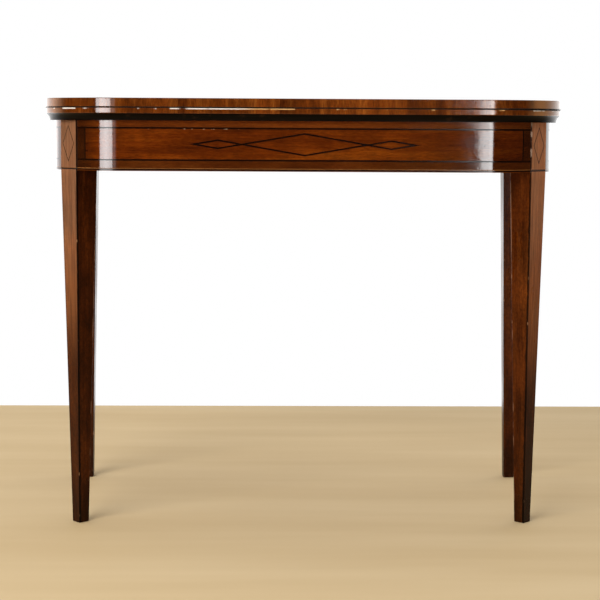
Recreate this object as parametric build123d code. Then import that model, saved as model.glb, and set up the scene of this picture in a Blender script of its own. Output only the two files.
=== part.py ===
from build123d import *

import math
import os

# A D-ended fold-over card table. Millimetres, +Z up, -Y is the front.
# The origin is on the floor, under the middle of the closed table.

# Overall sizes
TABLE_WIDTH = 914.0
LEAF_DEPTH = 457.0
TABLE_HEIGHT = 744.0
LEAF_THICKNESS = 15.5
LEAF_GAP = 0.6
LEAF_OVERHANG = 17.0
FRAME_BACK_INSET = 15.0
FRIEZE_HEIGHT = 92.4
FRIEZE_CORNER_RADIUS = 125.0
OVERRUN = 5.0

QUARTER_TURN = 90.0
HALF_TURN = 180.0

# Leaves: cross-banded edges, banded top face and cloth-lined playing faces
EDGE_BAND = 2.5
EDGE_ARRIS = 1.1
MOULDING_REBATE_HEIGHT = 5.4
TOP_BAND_WIDTH = 34.0
TOP_BAND_THICKNESS = 1.2
TOP_STRING_WIDTH = 2.2
BAIZE_BORDER = 46.0
BAIZE_CORNER_RADIUS = 98.0
BAIZE_RECESS = 1.3
BAIZE_THICKNESS = 1.1
BAIZE_MARGIN = 0.4
BAIZE_BACK_RADIUS = 6.0

# Ebonised moulding under the lower leaf
MOULDING_HEIGHT = 11.9
MOULDING_FILLET_HEIGHT = 1.6
MOULDING_FOOT = 9.0
MOULDING_TOP_INSET = 0.9
MOULDING_HOLLOW = 1.1

# Rail of the D: a bricked pine core, thinned where it passes through the front legs
RAIL_THICKNESS = 24.0
VENEER = 1.0
BRIDLE_CHEEK = 7.0
BRICK_COURSES = 3
FRONT_JOINT_ANGLES = (12.0, 26.0)
SIDE_JOINT_ANGLES = (78.0, 66.0)
FRONT_BRICK_JOINTS = ((-105.0, 105.0), (-215.0, 0.0, 215.0))

# Inlay of the frieze
BORDER_STRING = 2.2
BORDER_TOP_MARGIN = 18.1
BORDER_BOTTOM_MARGIN = 17.8
BORDER_END_MARGIN = 16.0
LIP_HEIGHT = 1.4
BLACK_LINE = 2.2
LIGHT_LINE = 1.5
LOZENGE_STRING = 2.1
BIG_LOZENGE_LENGTH = 214.0
BIG_LOZENGE_HEIGHT = 36.8
SMALL_LOZENGE_LENGTH = 82.0
SMALL_LOZENGE_HEIGHT = 14.0

# Front legs, set across the rounded corners
FRONT_LEG_SIDE = 44.6
FRONT_LEG_ANGLE = 47.0
FRONT_LEG_PROUD = 0.7
FOOT_SIDE = 20.4
FOOT_EASE = 0.8
LEG_ARRIS = 1.0
ARRIS_STEEPNESS_SHARE = 0.9
LEG_LOZENGE_HEIGHT = 61.0
LEG_LOZENGE_WIDTH = 31.5
LEG_LOZENGE_STRING = 1.7

# Rear legs and the double back rail
REAR_LEG_SIDE = 42.5
BACK_RAIL_THICKNESS = 22.0
BACK_RAIL_LIFT = 3.0
GATE_CLEARANCE = 0.5
TENON_LENGTH = 22.0
TENON_THICKNESS = 8.0
TENON_SHOULDER = 12.0

# Wooden knuckle joint of the swinging gate
FINGER_COUNT = 5
FINGER_GAP = 0.4
GATE_PIN_RADIUS = 3.0
GATE_PIN_CLEARANCE = 0.05
GATE_PIVOT_X = 0.0
GATE_TOP_CLEARANCE = 0.4

# Brass hinges let into the ends of the leaves
HINGE_AXIS_OUT = 0.3
HINGE_THICKNESS = 4.0
HINGE_LAP_GAP = 0.1
HINGE_PLATE_LENGTH = 62.0
HINGE_PLATE_HEIGHT = 6.4
HINGE_PLATE_LIFT = 1.9
HINGE_KNUCKLE_RADIUS = 6.0
HINGE_KNUCKLE_CLEARANCE = 0.4
HINGE_PIN_RADIUS = 1.5
HINGE_PIN_CLEARANCE = 0.05
HINGE_SCREW_COUNT = 3
HINGE_SCREW_RADIUS = 1.1
HINGE_SCREW_HEAD_RADIUS = 2.2
HINGE_SCREW_HEAD_DEPTH = 1.4
HINGE_SCREW_LENGTH = 16.0
HINGE_SCREW_END_MARGIN = 8.0
SCREW_SLOT_WIDTH = 0.6
SCREW_SLOT_DEPTH = 0.5

# Tongue that lines the open leaves up
TONGUE_WIDTH = 30.0
TONGUE_LENGTH = 5.0
TONGUE_HEIGHT = 5.0
TONGUE_DROP = 2.9
TONGUE_CLEARANCE = 0.6

# Glue blocks and screws inside the frame
BLOCK_LENGTH = 60.0
BLOCK_SIDE = 22.0
BLOCK_SPACING = 250.0
FIXING_SCREW_RADIUS = 2.0
FIXING_SCREW_HEAD_RADIUS = 4.0
FIXING_SCREW_HEAD_HEIGHT = 2.4
FIXING_SCREW_BITE = 8.0
RAIL_SCREW_BITE = 14.0
RAIL_SCREW_COLUMNS = 3
RAIL_SCREW_END_MARGIN = 95.0
RAIL_SCREW_ROW_OFFSET = 26.0

# Places that follow from the sizes above
HINGE_OUT = HINGE_AXIS_OUT + HINGE_KNUCKLE_RADIUS
LEAF_FRONT_Y = -(LEAF_DEPTH + HINGE_OUT) / 2
LEAF_BACK_Y = LEAF_FRONT_Y + LEAF_DEPTH
HINGE_AXIS_Y = LEAF_BACK_Y + HINGE_AXIS_OUT
UPPER_LEAF_Z = TABLE_HEIGHT - LEAF_THICKNESS
HINGE_AXIS_Z = UPPER_LEAF_Z - LEAF_GAP / 2
LOWER_LEAF_TOP = UPPER_LEAF_Z - LEAF_GAP
FRAME_TOP = LOWER_LEAF_TOP - LEAF_THICKNESS
REBATE_Z = FRAME_TOP + MOULDING_REBATE_HEIGHT
FRAME_BOTTOM = FRAME_TOP - FRIEZE_HEIGHT
FRIEZE_HALF = TABLE_WIDTH / 2 - LEAF_OVERHANG
FRIEZE_FRONT_Y = LEAF_FRONT_Y + LEAF_OVERHANG
FRAME_BACK_Y = LEAF_BACK_Y - FRAME_BACK_INSET
CORNER_X = FRIEZE_HALF - FRIEZE_CORNER_RADIUS
CORNER_Y = FRIEZE_FRONT_Y + FRIEZE_CORNER_RADIUS
RAIL_INSIDE = VENEER + RAIL_THICKNESS
REAR_LEG_FRONT_Y = FRAME_BACK_Y - REAR_LEG_SIDE
REAR_LEG_X = FRIEZE_HALF - REAR_LEG_SIDE / 2
REAR_LEG_INNER_X = FRIEZE_HALF - REAR_LEG_SIDE
KNUCKLE_RADIUS = BACK_RAIL_THICKNESS / 2
SHOULDER = KNUCKLE_RADIUS + GATE_CLEARANCE
GATE_AXIS_Y = REAR_LEG_FRONT_Y + SHOULDER
GATE_TOP = FRAME_TOP - GATE_TOP_CLEARANCE
GATE_BOTTOM = FRAME_BOTTOM + BACK_RAIL_LIFT
LEG_AXIS_RADIUS = FRIEZE_CORNER_RADIUS + FRONT_LEG_PROUD - FRONT_LEG_SIDE / 2
LEG_EDGE_ANGLE = math.degrees(math.asin(FRONT_LEG_SIDE / 2 / FRIEZE_CORNER_RADIUS))
BORDER_MARGIN_ANGLE = math.degrees(BORDER_END_MARGIN / FRIEZE_CORNER_RADIUS)
BORDER_STRING_ANGLE = math.degrees(BORDER_STRING / FRIEZE_CORNER_RADIUS)
BORDER_TOP = FRAME_TOP - BORDER_TOP_MARGIN
BORDER_BOTTOM = FRAME_BOTTOM + BORDER_BOTTOM_MARGIN
BLACK_LINE_Z = FRAME_BOTTOM + LIP_HEIGHT
LIGHT_LINE_Z = BLACK_LINE_Z + BLACK_LINE
BAND_Z = LIGHT_LINE_Z + LIGHT_LINE
PANEL_MIDDLE_Z = (BORDER_TOP + BORDER_BOTTOM) / 2

os.makedirs("parts", exist_ok=True)


def save(node, solid):
    """Write one sub-part."""
    export_step(solid, "parts/" + node + ".step")


def block(x_range, y_range, z_range):
    """A box between pairs of coordinates."""
    sizes = [high - low for low, high in (x_range, y_range, z_range)]
    middles = [(low + high) / 2 for low, high in (x_range, y_range, z_range)]
    return Pos(*middles) * Box(*sizes)


def raise_face(face, low, high):
    """Extrude a plan face, drawn at z = 0, between two heights."""
    return Pos(0, 0, low) * extrude(face, high - low, dir=(0, 0, 1))


def both_sides(solid):
    """A right-hand solid and its left-hand mirror image."""
    return {"right": solid, "left": mirror(solid, about=Plane.YZ)}


def d_face(offset, back_y):
    """Plan of the D, at a distance outside the frieze face, closed by a back line."""
    half = FRIEZE_HALF + offset
    radius = FRIEZE_CORNER_RADIUS + offset
    front = CORNER_Y - radius
    edges = [
        Line((-half, back_y), (-half, CORNER_Y)),
        CenterArc((-CORNER_X, CORNER_Y), radius, HALF_TURN, QUARTER_TURN),
        Line((-CORNER_X, front), (CORNER_X, front)),
        CenterArc((CORNER_X, CORNER_Y), radius, -QUARTER_TURN, QUARTER_TURN),
        Line((half, CORNER_Y), (half, back_y)),
        Line((half, back_y), (-half, back_y)),
    ]
    return make_face(edges)


def d_band(outer, inner, back_y, low, high):
    """A band that follows the D between two offsets from the frieze face."""
    plan = d_face(outer, back_y) - d_face(inner, back_y + OVERRUN)
    return raise_face(plan, low, high)


def ray_point(side, angle, offset):
    """A plan point on the right (1) or left (-1) corner, at an angle from the front."""
    radius = FRIEZE_CORNER_RADIUS + offset
    turn = math.radians(angle)
    return (side * (CORNER_X + radius * math.sin(turn)), CORNER_Y - radius * math.cos(turn))


def front_strip(angle, outer, inner):
    """Plan strip along the front, ending at an angle round each corner."""
    outer_radius = FRIEZE_CORNER_RADIUS + outer
    inner_radius = FRIEZE_CORNER_RADIUS + inner
    edges = []
    for radius in (outer_radius, inner_radius):
        front = CORNER_Y - radius
        edges.append(CenterArc((-CORNER_X, CORNER_Y), radius, -QUARTER_TURN - angle, angle))
        edges.append(Line((-CORNER_X, front), (CORNER_X, front)))
        edges.append(CenterArc((CORNER_X, CORNER_Y), radius, -QUARTER_TURN, angle))
    for side in (-1, 1):
        edges.append(Line(ray_point(side, angle, outer), ray_point(side, angle, inner)))
    return make_face(edges)


def corner_strip(first_angle, last_angle, outer, inner):
    """Plan strip round the right corner, between two angles from the front."""
    centre = (CORNER_X, CORNER_Y)
    start = first_angle - QUARTER_TURN
    sweep_angle = last_angle - first_angle
    edges = [
        CenterArc(centre, FRIEZE_CORNER_RADIUS + outer, start, sweep_angle),
        CenterArc(centre, FRIEZE_CORNER_RADIUS + inner, start, sweep_angle),
    ]
    for angle in (first_angle, last_angle):
        edges.append(Line(ray_point(1, angle, outer), ray_point(1, angle, inner)))
    return make_face(edges)


def side_strip(angle, outer, inner, back_y):
    """Plan strip from an angle round the right corner to a place on the side."""
    corner = corner_strip(angle, QUARTER_TURN, outer, inner)
    x_low = FRIEZE_HALF + inner
    x_high = FRIEZE_HALF + outer
    corners = [(x_low, CORNER_Y), (x_high, CORNER_Y), (x_high, back_y), (x_low, back_y)]
    straight = make_face(Polyline(*corners, close=True))
    return corner + straight


def lozenge(length, height, grow):
    """A flat lozenge in the XZ plane, each side moved outwards by a distance."""
    reach = length * height / 2 / math.hypot(length, height)
    scale_up = (reach + grow) / reach
    half_length = length / 2 * scale_up
    half_height = height / 2 * scale_up
    points = [(-half_length, 0), (0, -half_height), (half_length, 0), (0, half_height)]
    return Plane.XZ * make_face(Polyline(*points, close=True))


def lozenge_block(length, height, grow, depth):
    """A lozenge from just outside the plane y = 0 to a depth behind it."""
    return extrude(Pos(0, depth, 0) * lozenge(length, height, grow), depth + OVERRUN)


def lozenge_ring(length, height, width, depth):
    """A string of one width laid along the sides of a lozenge."""
    outer = lozenge_block(length, height, width / 2, depth)
    inner = lozenge_block(length, height, -width / 2, depth)
    return outer - inner


def screw(radius, head_radius, head_height, length, countersunk):
    """A slotted screw along -Z whose head's top is at z = 0."""
    head = Cone(radius, head_radius, head_height) if countersunk else Cylinder(head_radius, head_height)
    head = Pos(0, 0, -head_height / 2) * head
    shank_length = length - head_height
    shank = Pos(0, 0, -head_height - shank_length / 2) * Cylinder(radius, shank_length)
    return head + shank


def screw_slot(head_radius):
    """The driver's slot across a screw head whose top is at z = 0."""
    return Box(SCREW_SLOT_WIDTH, (head_radius + OVERRUN) * 2, SCREW_SLOT_DEPTH * 2)


# Legs
def tapered_leg(side, top):
    """A leg about its own axis: a straight block in the frame, then a taper to the foot."""
    top_block = raise_face(Rectangle(side, side), FRAME_BOTTOM, top)
    foot = Rectangle(FOOT_SIDE, FOOT_SIDE)
    knee = Pos(0, 0, FRAME_BOTTOM) * Rectangle(side, side)
    leg = top_block + loft([foot, knee])
    arrises = [edge for edge in leg.edges() if abs(edge.tangent_at(0).Z) > ARRIS_STEEPNESS_SHARE]
    leg = fillet(arrises, LEG_ARRIS)
    return chamfer(leg.faces().sort_by(Axis.Z)[0].edges(), FOOT_EASE)


def front_leg_place(side):
    """Where a front leg's axis stands, turned so that its -Y face looks outwards."""
    offset = LEG_AXIS_RADIUS - FRIEZE_CORNER_RADIUS
    x, y = ray_point(side, FRONT_LEG_ANGLE, offset)
    return Pos(x, y, 0) * Rot(0, 0, side * FRONT_LEG_ANGLE)


def leg_lozenge():
    """The lozenge string on a front leg's outer face, in the leg's own place."""
    ring = lozenge_ring(LEG_LOZENGE_WIDTH, LEG_LOZENGE_HEIGHT, LEG_LOZENGE_STRING, VENEER)
    face_y = -FRONT_LEG_SIDE / 2
    return Pos(0, face_y, PANEL_MIDDLE_Z) * ring


def leg_line(low, high):
    """A straight inlaid line across a front leg's outer face."""
    half = FRONT_LEG_SIDE / 2
    return block((-half, half), (-half, -half + VENEER), (low, high))


def leg_block(side):
    """The space that a front leg's block takes out of the frieze and the moulding."""
    half = FRONT_LEG_SIDE / 2
    heights = (FRAME_BOTTOM - OVERRUN, FRAME_TOP)
    return front_leg_place(side) * block((-half, half), (-half, half), heights)


def front_leg(side):
    """A front leg with its bridle slot and the beds of its inlay."""
    leg = tapered_leg(FRONT_LEG_SIDE, FRAME_TOP)
    leg -= leg_lozenge()
    leg -= leg_line(BLACK_LINE_Z, LIGHT_LINE_Z)
    leg -= leg_line(LIGHT_LINE_Z, BAND_Z)
    leg = front_leg_place(side) * leg
    outer = -VENEER - BRIDLE_CHEEK
    inner = -RAIL_INSIDE + BRIDLE_CHEEK
    tongue = d_band(outer, inner, FRAME_BACK_Y, FRAME_BOTTOM, FRAME_TOP + OVERRUN)
    return leg - tongue


def make_front_legs():
    legs = {}
    for name, side in (("left", -1), ("right", 1)):
        legs[side] = front_leg(side)
        save("front_leg_" + name, legs[side])
    whole = tapered_leg(FRONT_LEG_SIDE, FRAME_TOP)
    inlays = {
        "front_leg_lozenge_strings": leg_lozenge(),
        "front_leg_black_lines": leg_line(BLACK_LINE_Z, LIGHT_LINE_Z),
        "front_leg_light_lines": leg_line(LIGHT_LINE_Z, BAND_Z),
    }
    places = [front_leg_place(side) for side in (-1, 1)]
    for node, inlay in inlays.items():
        flush = inlay & whole
        save(node, Compound([place * flush for place in places]))
    return legs


# Bricked core of the frieze
def course_heights(course):
    height = FRIEZE_HEIGHT / BRICK_COURSES
    low = FRAME_BOTTOM + course * height
    return low, low + height


def front_bricks(course):
    """The front's bricks of one course, split at staggered joints."""
    low, high = course_heights(course)
    angle = FRONT_JOINT_ANGLES[course % len(FRONT_JOINT_ANGLES)]
    joints = FRONT_BRICK_JOINTS[course % len(FRONT_BRICK_JOINTS)]
    run = raise_face(front_strip(angle, -VENEER, -RAIL_INSIDE), low, high)
    stops = (-FRIEZE_HALF,) + joints + (FRIEZE_HALF,)
    y_range = (FRIEZE_FRONT_Y - OVERRUN, CORNER_Y)
    pieces = [run & block(pair, y_range, (low, high)) for pair in zip(stops, stops[1:])]
    return [piece for piece in pieces if piece]


def corner_brick(course, leg):
    """The right corner's brick of one course, cut by the front leg's cheeks."""
    low, high = course_heights(course)
    first = FRONT_JOINT_ANGLES[course % len(FRONT_JOINT_ANGLES)]
    last = SIDE_JOINT_ANGLES[course % len(SIDE_JOINT_ANGLES)]
    brick = raise_face(corner_strip(first, last, -VENEER, -RAIL_INSIDE), low, high)
    return brick - leg


def side_brick(course):
    """The right side's brick of one course, up to the rear leg."""
    low, high = course_heights(course)
    angle = SIDE_JOINT_ANGLES[course % len(SIDE_JOINT_ANGLES)]
    plan = side_strip(angle, -VENEER, -RAIL_INSIDE, REAR_LEG_FRONT_Y - GATE_CLEARANCE)
    return raise_face(plan, low, high)


def make_rail_core(legs):
    front = []
    for course in range(BRICK_COURSES):
        front += front_bricks(course)
    save("frieze_core_front", Compound(front))
    corners = [corner_brick(course, legs[1]) for course in range(BRICK_COURSES)]
    sides = [side_brick(course) for course in range(BRICK_COURSES)]
    for name, pieces in (("frieze_core_corner_", corners), ("frieze_core_side_", sides)):
        for side, solid in both_sides(Compound(pieces)).items():
            save(name + side, solid)


# Veneers and inlay of the frieze
def front_layer(angle, low, high):
    return raise_face(front_strip(angle, 0, -VENEER), low, high)


def side_layer(angle, back_y, low, high):
    return raise_face(side_strip(angle, 0, -VENEER, back_y), low, high)


def front_lozenges():
    """All the lozenge strings of the front, deeper than the veneer."""
    strings = lozenge_ring(BIG_LOZENGE_LENGTH, BIG_LOZENGE_HEIGHT, LOZENGE_STRING, VENEER)
    small = lozenge_ring(SMALL_LOZENGE_LENGTH, SMALL_LOZENGE_HEIGHT, LOZENGE_STRING, VENEER)
    step = (BIG_LOZENGE_LENGTH + SMALL_LOZENGE_LENGTH) / 2
    for side in (-1, 1):
        strings += Pos(side * step, 0, 0) * small
    return Pos(0, FRIEZE_FRONT_Y, PANEL_MIDDLE_Z) * strings


def make_front_veneers():
    leg_room = leg_block(-1) + leg_block(1)
    outer_angle = FRONT_LEG_ANGLE - LEG_EDGE_ANGLE - BORDER_MARGIN_ANGLE
    inner_angle = outer_angle - BORDER_STRING_ANGLE
    border_room = front_layer(outer_angle, BORDER_BOTTOM, BORDER_TOP)
    panel = front_layer(inner_angle, BORDER_BOTTOM + BORDER_STRING, BORDER_TOP - BORDER_STRING)
    lozenges = front_lozenges()
    whole = front_layer(FRONT_LEG_ANGLE, FRAME_BOTTOM, FRAME_TOP) - leg_room
    upper = front_layer(FRONT_LEG_ANGLE, BAND_Z, FRAME_TOP) - leg_room
    save("frieze_panel_veneer", panel - lozenges)
    save("frieze_lozenge_strings", panel & lozenges)
    save("frieze_border_string", border_room - panel)
    save("frieze_crossbanding", upper - border_room)
    save("frieze_lip_front", whole & front_layer(FRONT_LEG_ANGLE, FRAME_BOTTOM, BLACK_LINE_Z))
    save("frieze_black_line_front", whole & front_layer(FRONT_LEG_ANGLE, BLACK_LINE_Z, LIGHT_LINE_Z))
    save("frieze_light_line_front", whole & front_layer(FRONT_LEG_ANGLE, LIGHT_LINE_Z, BAND_Z))


def make_side_veneers():
    """The ends repeat the front's border, from the front leg to the rear leg."""
    leg_room = leg_block(1)
    back_y = REAR_LEG_FRONT_Y - GATE_CLEARANCE
    outer_angle = FRONT_LEG_ANGLE + LEG_EDGE_ANGLE + BORDER_MARGIN_ANGLE
    inner_angle = outer_angle + BORDER_STRING_ANGLE
    border_back = back_y - BORDER_END_MARGIN
    border_room = side_layer(outer_angle, border_back, BORDER_BOTTOM, BORDER_TOP)
    panel_heights = (BORDER_BOTTOM + BORDER_STRING, BORDER_TOP - BORDER_STRING)
    panel = side_layer(inner_angle, border_back - BORDER_STRING, *panel_heights)
    layers = {
        "end_panel_veneer": panel,
        "end_border_string": border_room - panel,
        "end_crossbanding": side_layer(FRONT_LEG_ANGLE, back_y, BAND_Z, FRAME_TOP) - leg_room - border_room,
        "end_lip": side_layer(FRONT_LEG_ANGLE, back_y, FRAME_BOTTOM, BLACK_LINE_Z) - leg_room,
        "end_black_line": side_layer(FRONT_LEG_ANGLE, back_y, BLACK_LINE_Z, LIGHT_LINE_Z) - leg_room,
        "end_light_line": side_layer(FRONT_LEG_ANGLE, back_y, LIGHT_LINE_Z, BAND_Z) - leg_room,
    }
    for name, solid in layers.items():
        pair = both_sides(solid)
        save(name + "s", Compound([pair["left"], pair["right"]]))


# Leaves
def end_disc(radius, inner_x, outer_x):
    """A disc about the hinge axis, between two distances from the middle."""
    length = outer_x - inner_x
    middle = (inner_x + outer_x) / 2
    return Pos(middle, HINGE_AXIS_Y, HINGE_AXIS_Z) * Rot(0, QUARTER_TURN, 0) * Cylinder(radius, length)


def plate_heights(leaf):
    """Heights of a hinge plate above (1) or below (-1) the axis."""
    near = HINGE_AXIS_Z + leaf * HINGE_PLATE_LIFT
    far = HINGE_AXIS_Z + leaf * (HINGE_PLATE_LIFT + HINGE_PLATE_HEIGHT)
    return min(near, far), max(near, far)


def hinge_plate_bar(leaf, overrun):
    """The straight bar of a right-hand hinge plate."""
    outer_x = TABLE_WIDTH / 2
    y_range = (LEAF_BACK_Y - HINGE_PLATE_LENGTH, LEAF_BACK_Y + overrun)
    return block((outer_x - HINGE_THICKNESS, outer_x + overrun), y_range, plate_heights(leaf))


def hinge_halves():
    """Inner and outer half of the hinge's thickness, with the lap's gap between them."""
    outer_x = TABLE_WIDTH / 2
    inner_x = outer_x - HINGE_THICKNESS
    middle = (inner_x + outer_x) / 2
    return (inner_x, middle - HINGE_LAP_GAP / 2), (middle + HINGE_LAP_GAP / 2, outer_x)


def hinge_screw_places(leaf):
    """Where the screws of a right-hand plate stand on its face."""
    low, high = plate_heights(leaf)
    first = LEAF_BACK_Y - HINGE_PLATE_LENGTH + HINGE_SCREW_END_MARGIN
    last = LEAF_BACK_Y - HINGE_SCREW_END_MARGIN * 2
    step = (last - first) / (HINGE_SCREW_COUNT - 1)
    turn = Rot(0, QUARTER_TURN, 0)
    ys = [first + step * index for index in range(HINGE_SCREW_COUNT)]
    return [Pos(TABLE_WIDTH / 2, y, (low + high) / 2) * turn for y in ys]


def hinge_screw():
    return screw(
        HINGE_SCREW_RADIUS,
        HINGE_SCREW_HEAD_RADIUS,
        HINGE_SCREW_HEAD_DEPTH,
        HINGE_SCREW_LENGTH,
        countersunk=True,
    )


def hinge_screws(leaf):
    """The solid screws of a right-hand plate, without their slots."""
    screws = None
    for place in hinge_screw_places(leaf):
        one = place * hinge_screw()
        screws = one if screws is None else screws + one
    return screws


def hinge_plate(leaf):
    """A right-hand plate of the upper (1) or lower (-1) leaf, with its half-lapped knuckle."""
    inner, outer = hinge_halves()
    room = HINGE_KNUCKLE_RADIUS + HINGE_KNUCKLE_CLEARANCE
    if leaf > 0:
        own, other_side = outer, (inner[0], outer[0])
    else:
        own, other_side = inner, (inner[1], outer[1])
    plate = hinge_plate_bar(leaf, 0)
    plate -= end_disc(room, *other_side)
    plate += end_disc(HINGE_KNUCKLE_RADIUS, *own)
    pin_radius = HINGE_PIN_RADIUS + (HINGE_PIN_CLEARANCE if leaf > 0 else 0)
    plate -= end_disc(pin_radius, inner[0], outer[1])
    return plate - hinge_screws(leaf)


def leaf_pockets(leaf):
    """Everything that the hinges take out of one leaf."""
    inner_x = TABLE_WIDTH / 2 - HINGE_THICKNESS
    room = HINGE_KNUCKLE_RADIUS + HINGE_KNUCKLE_CLEARANCE
    pocket = hinge_plate_bar(leaf, OVERRUN) + end_disc(room, inner_x, TABLE_WIDTH / 2 + OVERRUN)
    pair = both_sides(pocket + hinge_screws(leaf))
    return [pair["left"], pair["right"]]


def eased(band, low, high):
    """A leaf's edge band with its outer arrises rounded over."""
    outer = TABLE_WIDTH / 2
    front = LEAF_FRONT_Y
    chosen = []
    for edge in band.edges():
        box = edge.bounding_box()
        flat = box.max.Z - box.min.Z < EDGE_ARRIS
        level = min(abs(box.min.Z - low), abs(box.min.Z - high)) < EDGE_ARRIS
        reach = max(abs(box.max.X), abs(box.min.X))
        middle = edge.position_at(0.5)
        on_side = abs(abs(middle.X) - outer) < EDGE_ARRIS
        on_front = abs(middle.Y - front) < EDGE_ARRIS
        far = math.hypot(abs(middle.X) - CORNER_X, middle.Y - CORNER_Y)
        rim = FRIEZE_CORNER_RADIUS + LEAF_OVERHANG
        on_corner = abs(middle.X) > CORNER_X and middle.Y < CORNER_Y and abs(far - rim) < EDGE_ARRIS
        if flat and level and reach > 0 and (on_side or on_front or on_corner):
            chosen.append(edge)
    return fillet(chosen, EDGE_ARRIS)


def baize_plan(margin):
    """Plan of the cloth, inside the leaf's wooden border."""
    offset = LEAF_OVERHANG - BAIZE_BORDER - margin
    half = FRIEZE_HALF + offset
    front = LEAF_FRONT_Y + BAIZE_BORDER + margin
    back = LEAF_BACK_Y - BAIZE_BORDER - margin
    plan = Pos(0, (front + back) / 2, 0) * Rectangle(half * 2, back - front)
    corners = plan.vertices().sort_by(Axis.Y)
    plan = fillet(corners[:2], BAIZE_CORNER_RADIUS - margin)
    corners = plan.vertices().sort_by(Axis.Y)
    return fillet(corners[-2:], BAIZE_BACK_RADIUS - margin)


def make_upper_leaf():
    low = UPPER_LEAF_Z
    high = TABLE_HEIGHT
    inner = LEAF_OVERHANG - EDGE_BAND
    pockets = leaf_pockets(1)
    band = eased(d_band(LEAF_OVERHANG, inner, LEAF_BACK_Y, low, high), low, high)
    leaf = raise_face(d_face(inner, LEAF_BACK_Y), low, high)
    face_low = high - TOP_BAND_THICKNESS
    band_inner = inner - TOP_BAND_WIDTH
    string_inner = band_inner - TOP_STRING_WIDTH
    back_inset = EDGE_BAND + TOP_BAND_WIDTH
    crossband = raise_face(d_face(inner, LEAF_BACK_Y), face_low, high)
    string_room = raise_face(d_face(band_inner, LEAF_BACK_Y - back_inset), face_low, high)
    field = raise_face(d_face(string_inner, LEAF_BACK_Y - back_inset - TOP_STRING_WIDTH), face_low, high)
    leaf -= crossband - field
    leaf -= raise_face(baize_plan(0), low - OVERRUN, low + BAIZE_RECESS)
    leaf -= tongue_mortise()
    for pocket in pockets:
        band -= pocket
        leaf -= pocket
    save("upper_leaf", leaf)
    save("upper_leaf_edge_band", band)
    save("top_crossbanding", crossband - string_room)
    save("top_string", string_room - field)
    cloth_low = low + BAIZE_RECESS - BAIZE_THICKNESS
    save("upper_baize", raise_face(baize_plan(BAIZE_MARGIN), cloth_low, low + BAIZE_RECESS))


def tongue():
    """The tongue on the lower leaf's back edge."""
    top = HINGE_AXIS_Z - TONGUE_DROP
    y_range = (LEAF_BACK_Y, LEAF_BACK_Y + TONGUE_LENGTH)
    return block((-TONGUE_WIDTH / 2, TONGUE_WIDTH / 2), y_range, (top - TONGUE_HEIGHT, top))


def tongue_mortise():
    """The mortise in the upper leaf that takes the tongue as the leaf comes down."""
    half = TONGUE_WIDTH / 2 + TONGUE_CLEARANCE
    reach = TONGUE_LENGTH - HINGE_AXIS_OUT
    near = TONGUE_DROP - TONGUE_CLEARANCE
    far = math.hypot(reach, TONGUE_DROP + TONGUE_HEIGHT) + TONGUE_CLEARANCE
    y_range = (LEAF_BACK_Y - TONGUE_LENGTH - TONGUE_CLEARANCE, LEAF_BACK_Y + OVERRUN)
    return block((-half, half), y_range, (HINGE_AXIS_Z + near, HINGE_AXIS_Z + far))


def make_lower_leaf(screws):
    inner = LEAF_OVERHANG - EDGE_BAND
    pockets = leaf_pockets(-1)
    band = d_band(LEAF_OVERHANG, inner, LEAF_BACK_Y, REBATE_Z, LOWER_LEAF_TOP)
    band = eased(band, REBATE_Z, LOWER_LEAF_TOP)
    leaf = raise_face(d_face(inner, LEAF_BACK_Y), REBATE_Z, LOWER_LEAF_TOP)
    leaf += raise_face(d_face(0, LEAF_BACK_Y), FRAME_TOP, REBATE_Z)
    leaf += tongue()
    recess_low = LOWER_LEAF_TOP - BAIZE_RECESS
    leaf -= raise_face(baize_plan(0), recess_low, LOWER_LEAF_TOP + OVERRUN)
    for pocket in pockets:
        band -= pocket
        leaf -= pocket
    save("lower_leaf", leaf - screws)
    save("lower_leaf_edge_band", band)
    cloth = raise_face(baize_plan(BAIZE_MARGIN), recess_low, recess_low + BAIZE_THICKNESS)
    save("lower_baize", cloth)


def make_moulding():
    """The ebonised moulding, swept round the frieze under the lower leaf's edge."""
    low = REBATE_Z - MOULDING_HEIGHT
    fillet_top = low + MOULDING_FILLET_HEIGHT
    top_reach = LEAF_OVERHANG - MOULDING_TOP_INSET
    foot = (MOULDING_FOOT, fillet_top)
    lip = (top_reach, REBATE_Z)
    hollow = ((foot[0] + lip[0]) / 2 - MOULDING_HOLLOW, (foot[1] + lip[1]) / 2 + MOULDING_HOLLOW)
    section = make_face([
        Line((0, low), (MOULDING_FOOT, low)),
        Line((MOULDING_FOOT, low), foot),
        ThreePointArc(foot, hollow, lip),
        Line(lip, (0, REBATE_Z)),
        Line((0, REBATE_Z), (0, low)),
    ])
    start = Plane(origin=(FRIEZE_HALF, LEAF_BACK_Y, 0), x_dir=(1, 0, 0), z_dir=(0, -1, 0))
    path = Wire([
        Edge.make_line((FRIEZE_HALF, LEAF_BACK_Y, 0), (FRIEZE_HALF, CORNER_Y, 0)),
        plan_arc(1),
        Edge.make_line((CORNER_X, FRIEZE_FRONT_Y, 0), (-CORNER_X, FRIEZE_FRONT_Y, 0)),
        plan_arc(-1),
        Edge.make_line((-FRIEZE_HALF, CORNER_Y, 0), (-FRIEZE_HALF, LEAF_BACK_Y, 0)),
    ])
    moulding = sweep(start * section, path=path)
    for side in (-1, 1):
        moulding -= leg_block(side)
    save("edge_moulding", moulding)


def plan_arc(side):
    """The frieze's corner arc, as part of a path from the right to the left."""
    points = [(side * FRIEZE_HALF, CORNER_Y, 0), (side * CORNER_X, FRIEZE_FRONT_Y, 0)]
    middle = ray_point(side, QUARTER_TURN / 2, 0)
    if side < 0:
        points.reverse()
    return Edge.make_three_point_arc(points[0], (*middle, 0), points[1])


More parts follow.
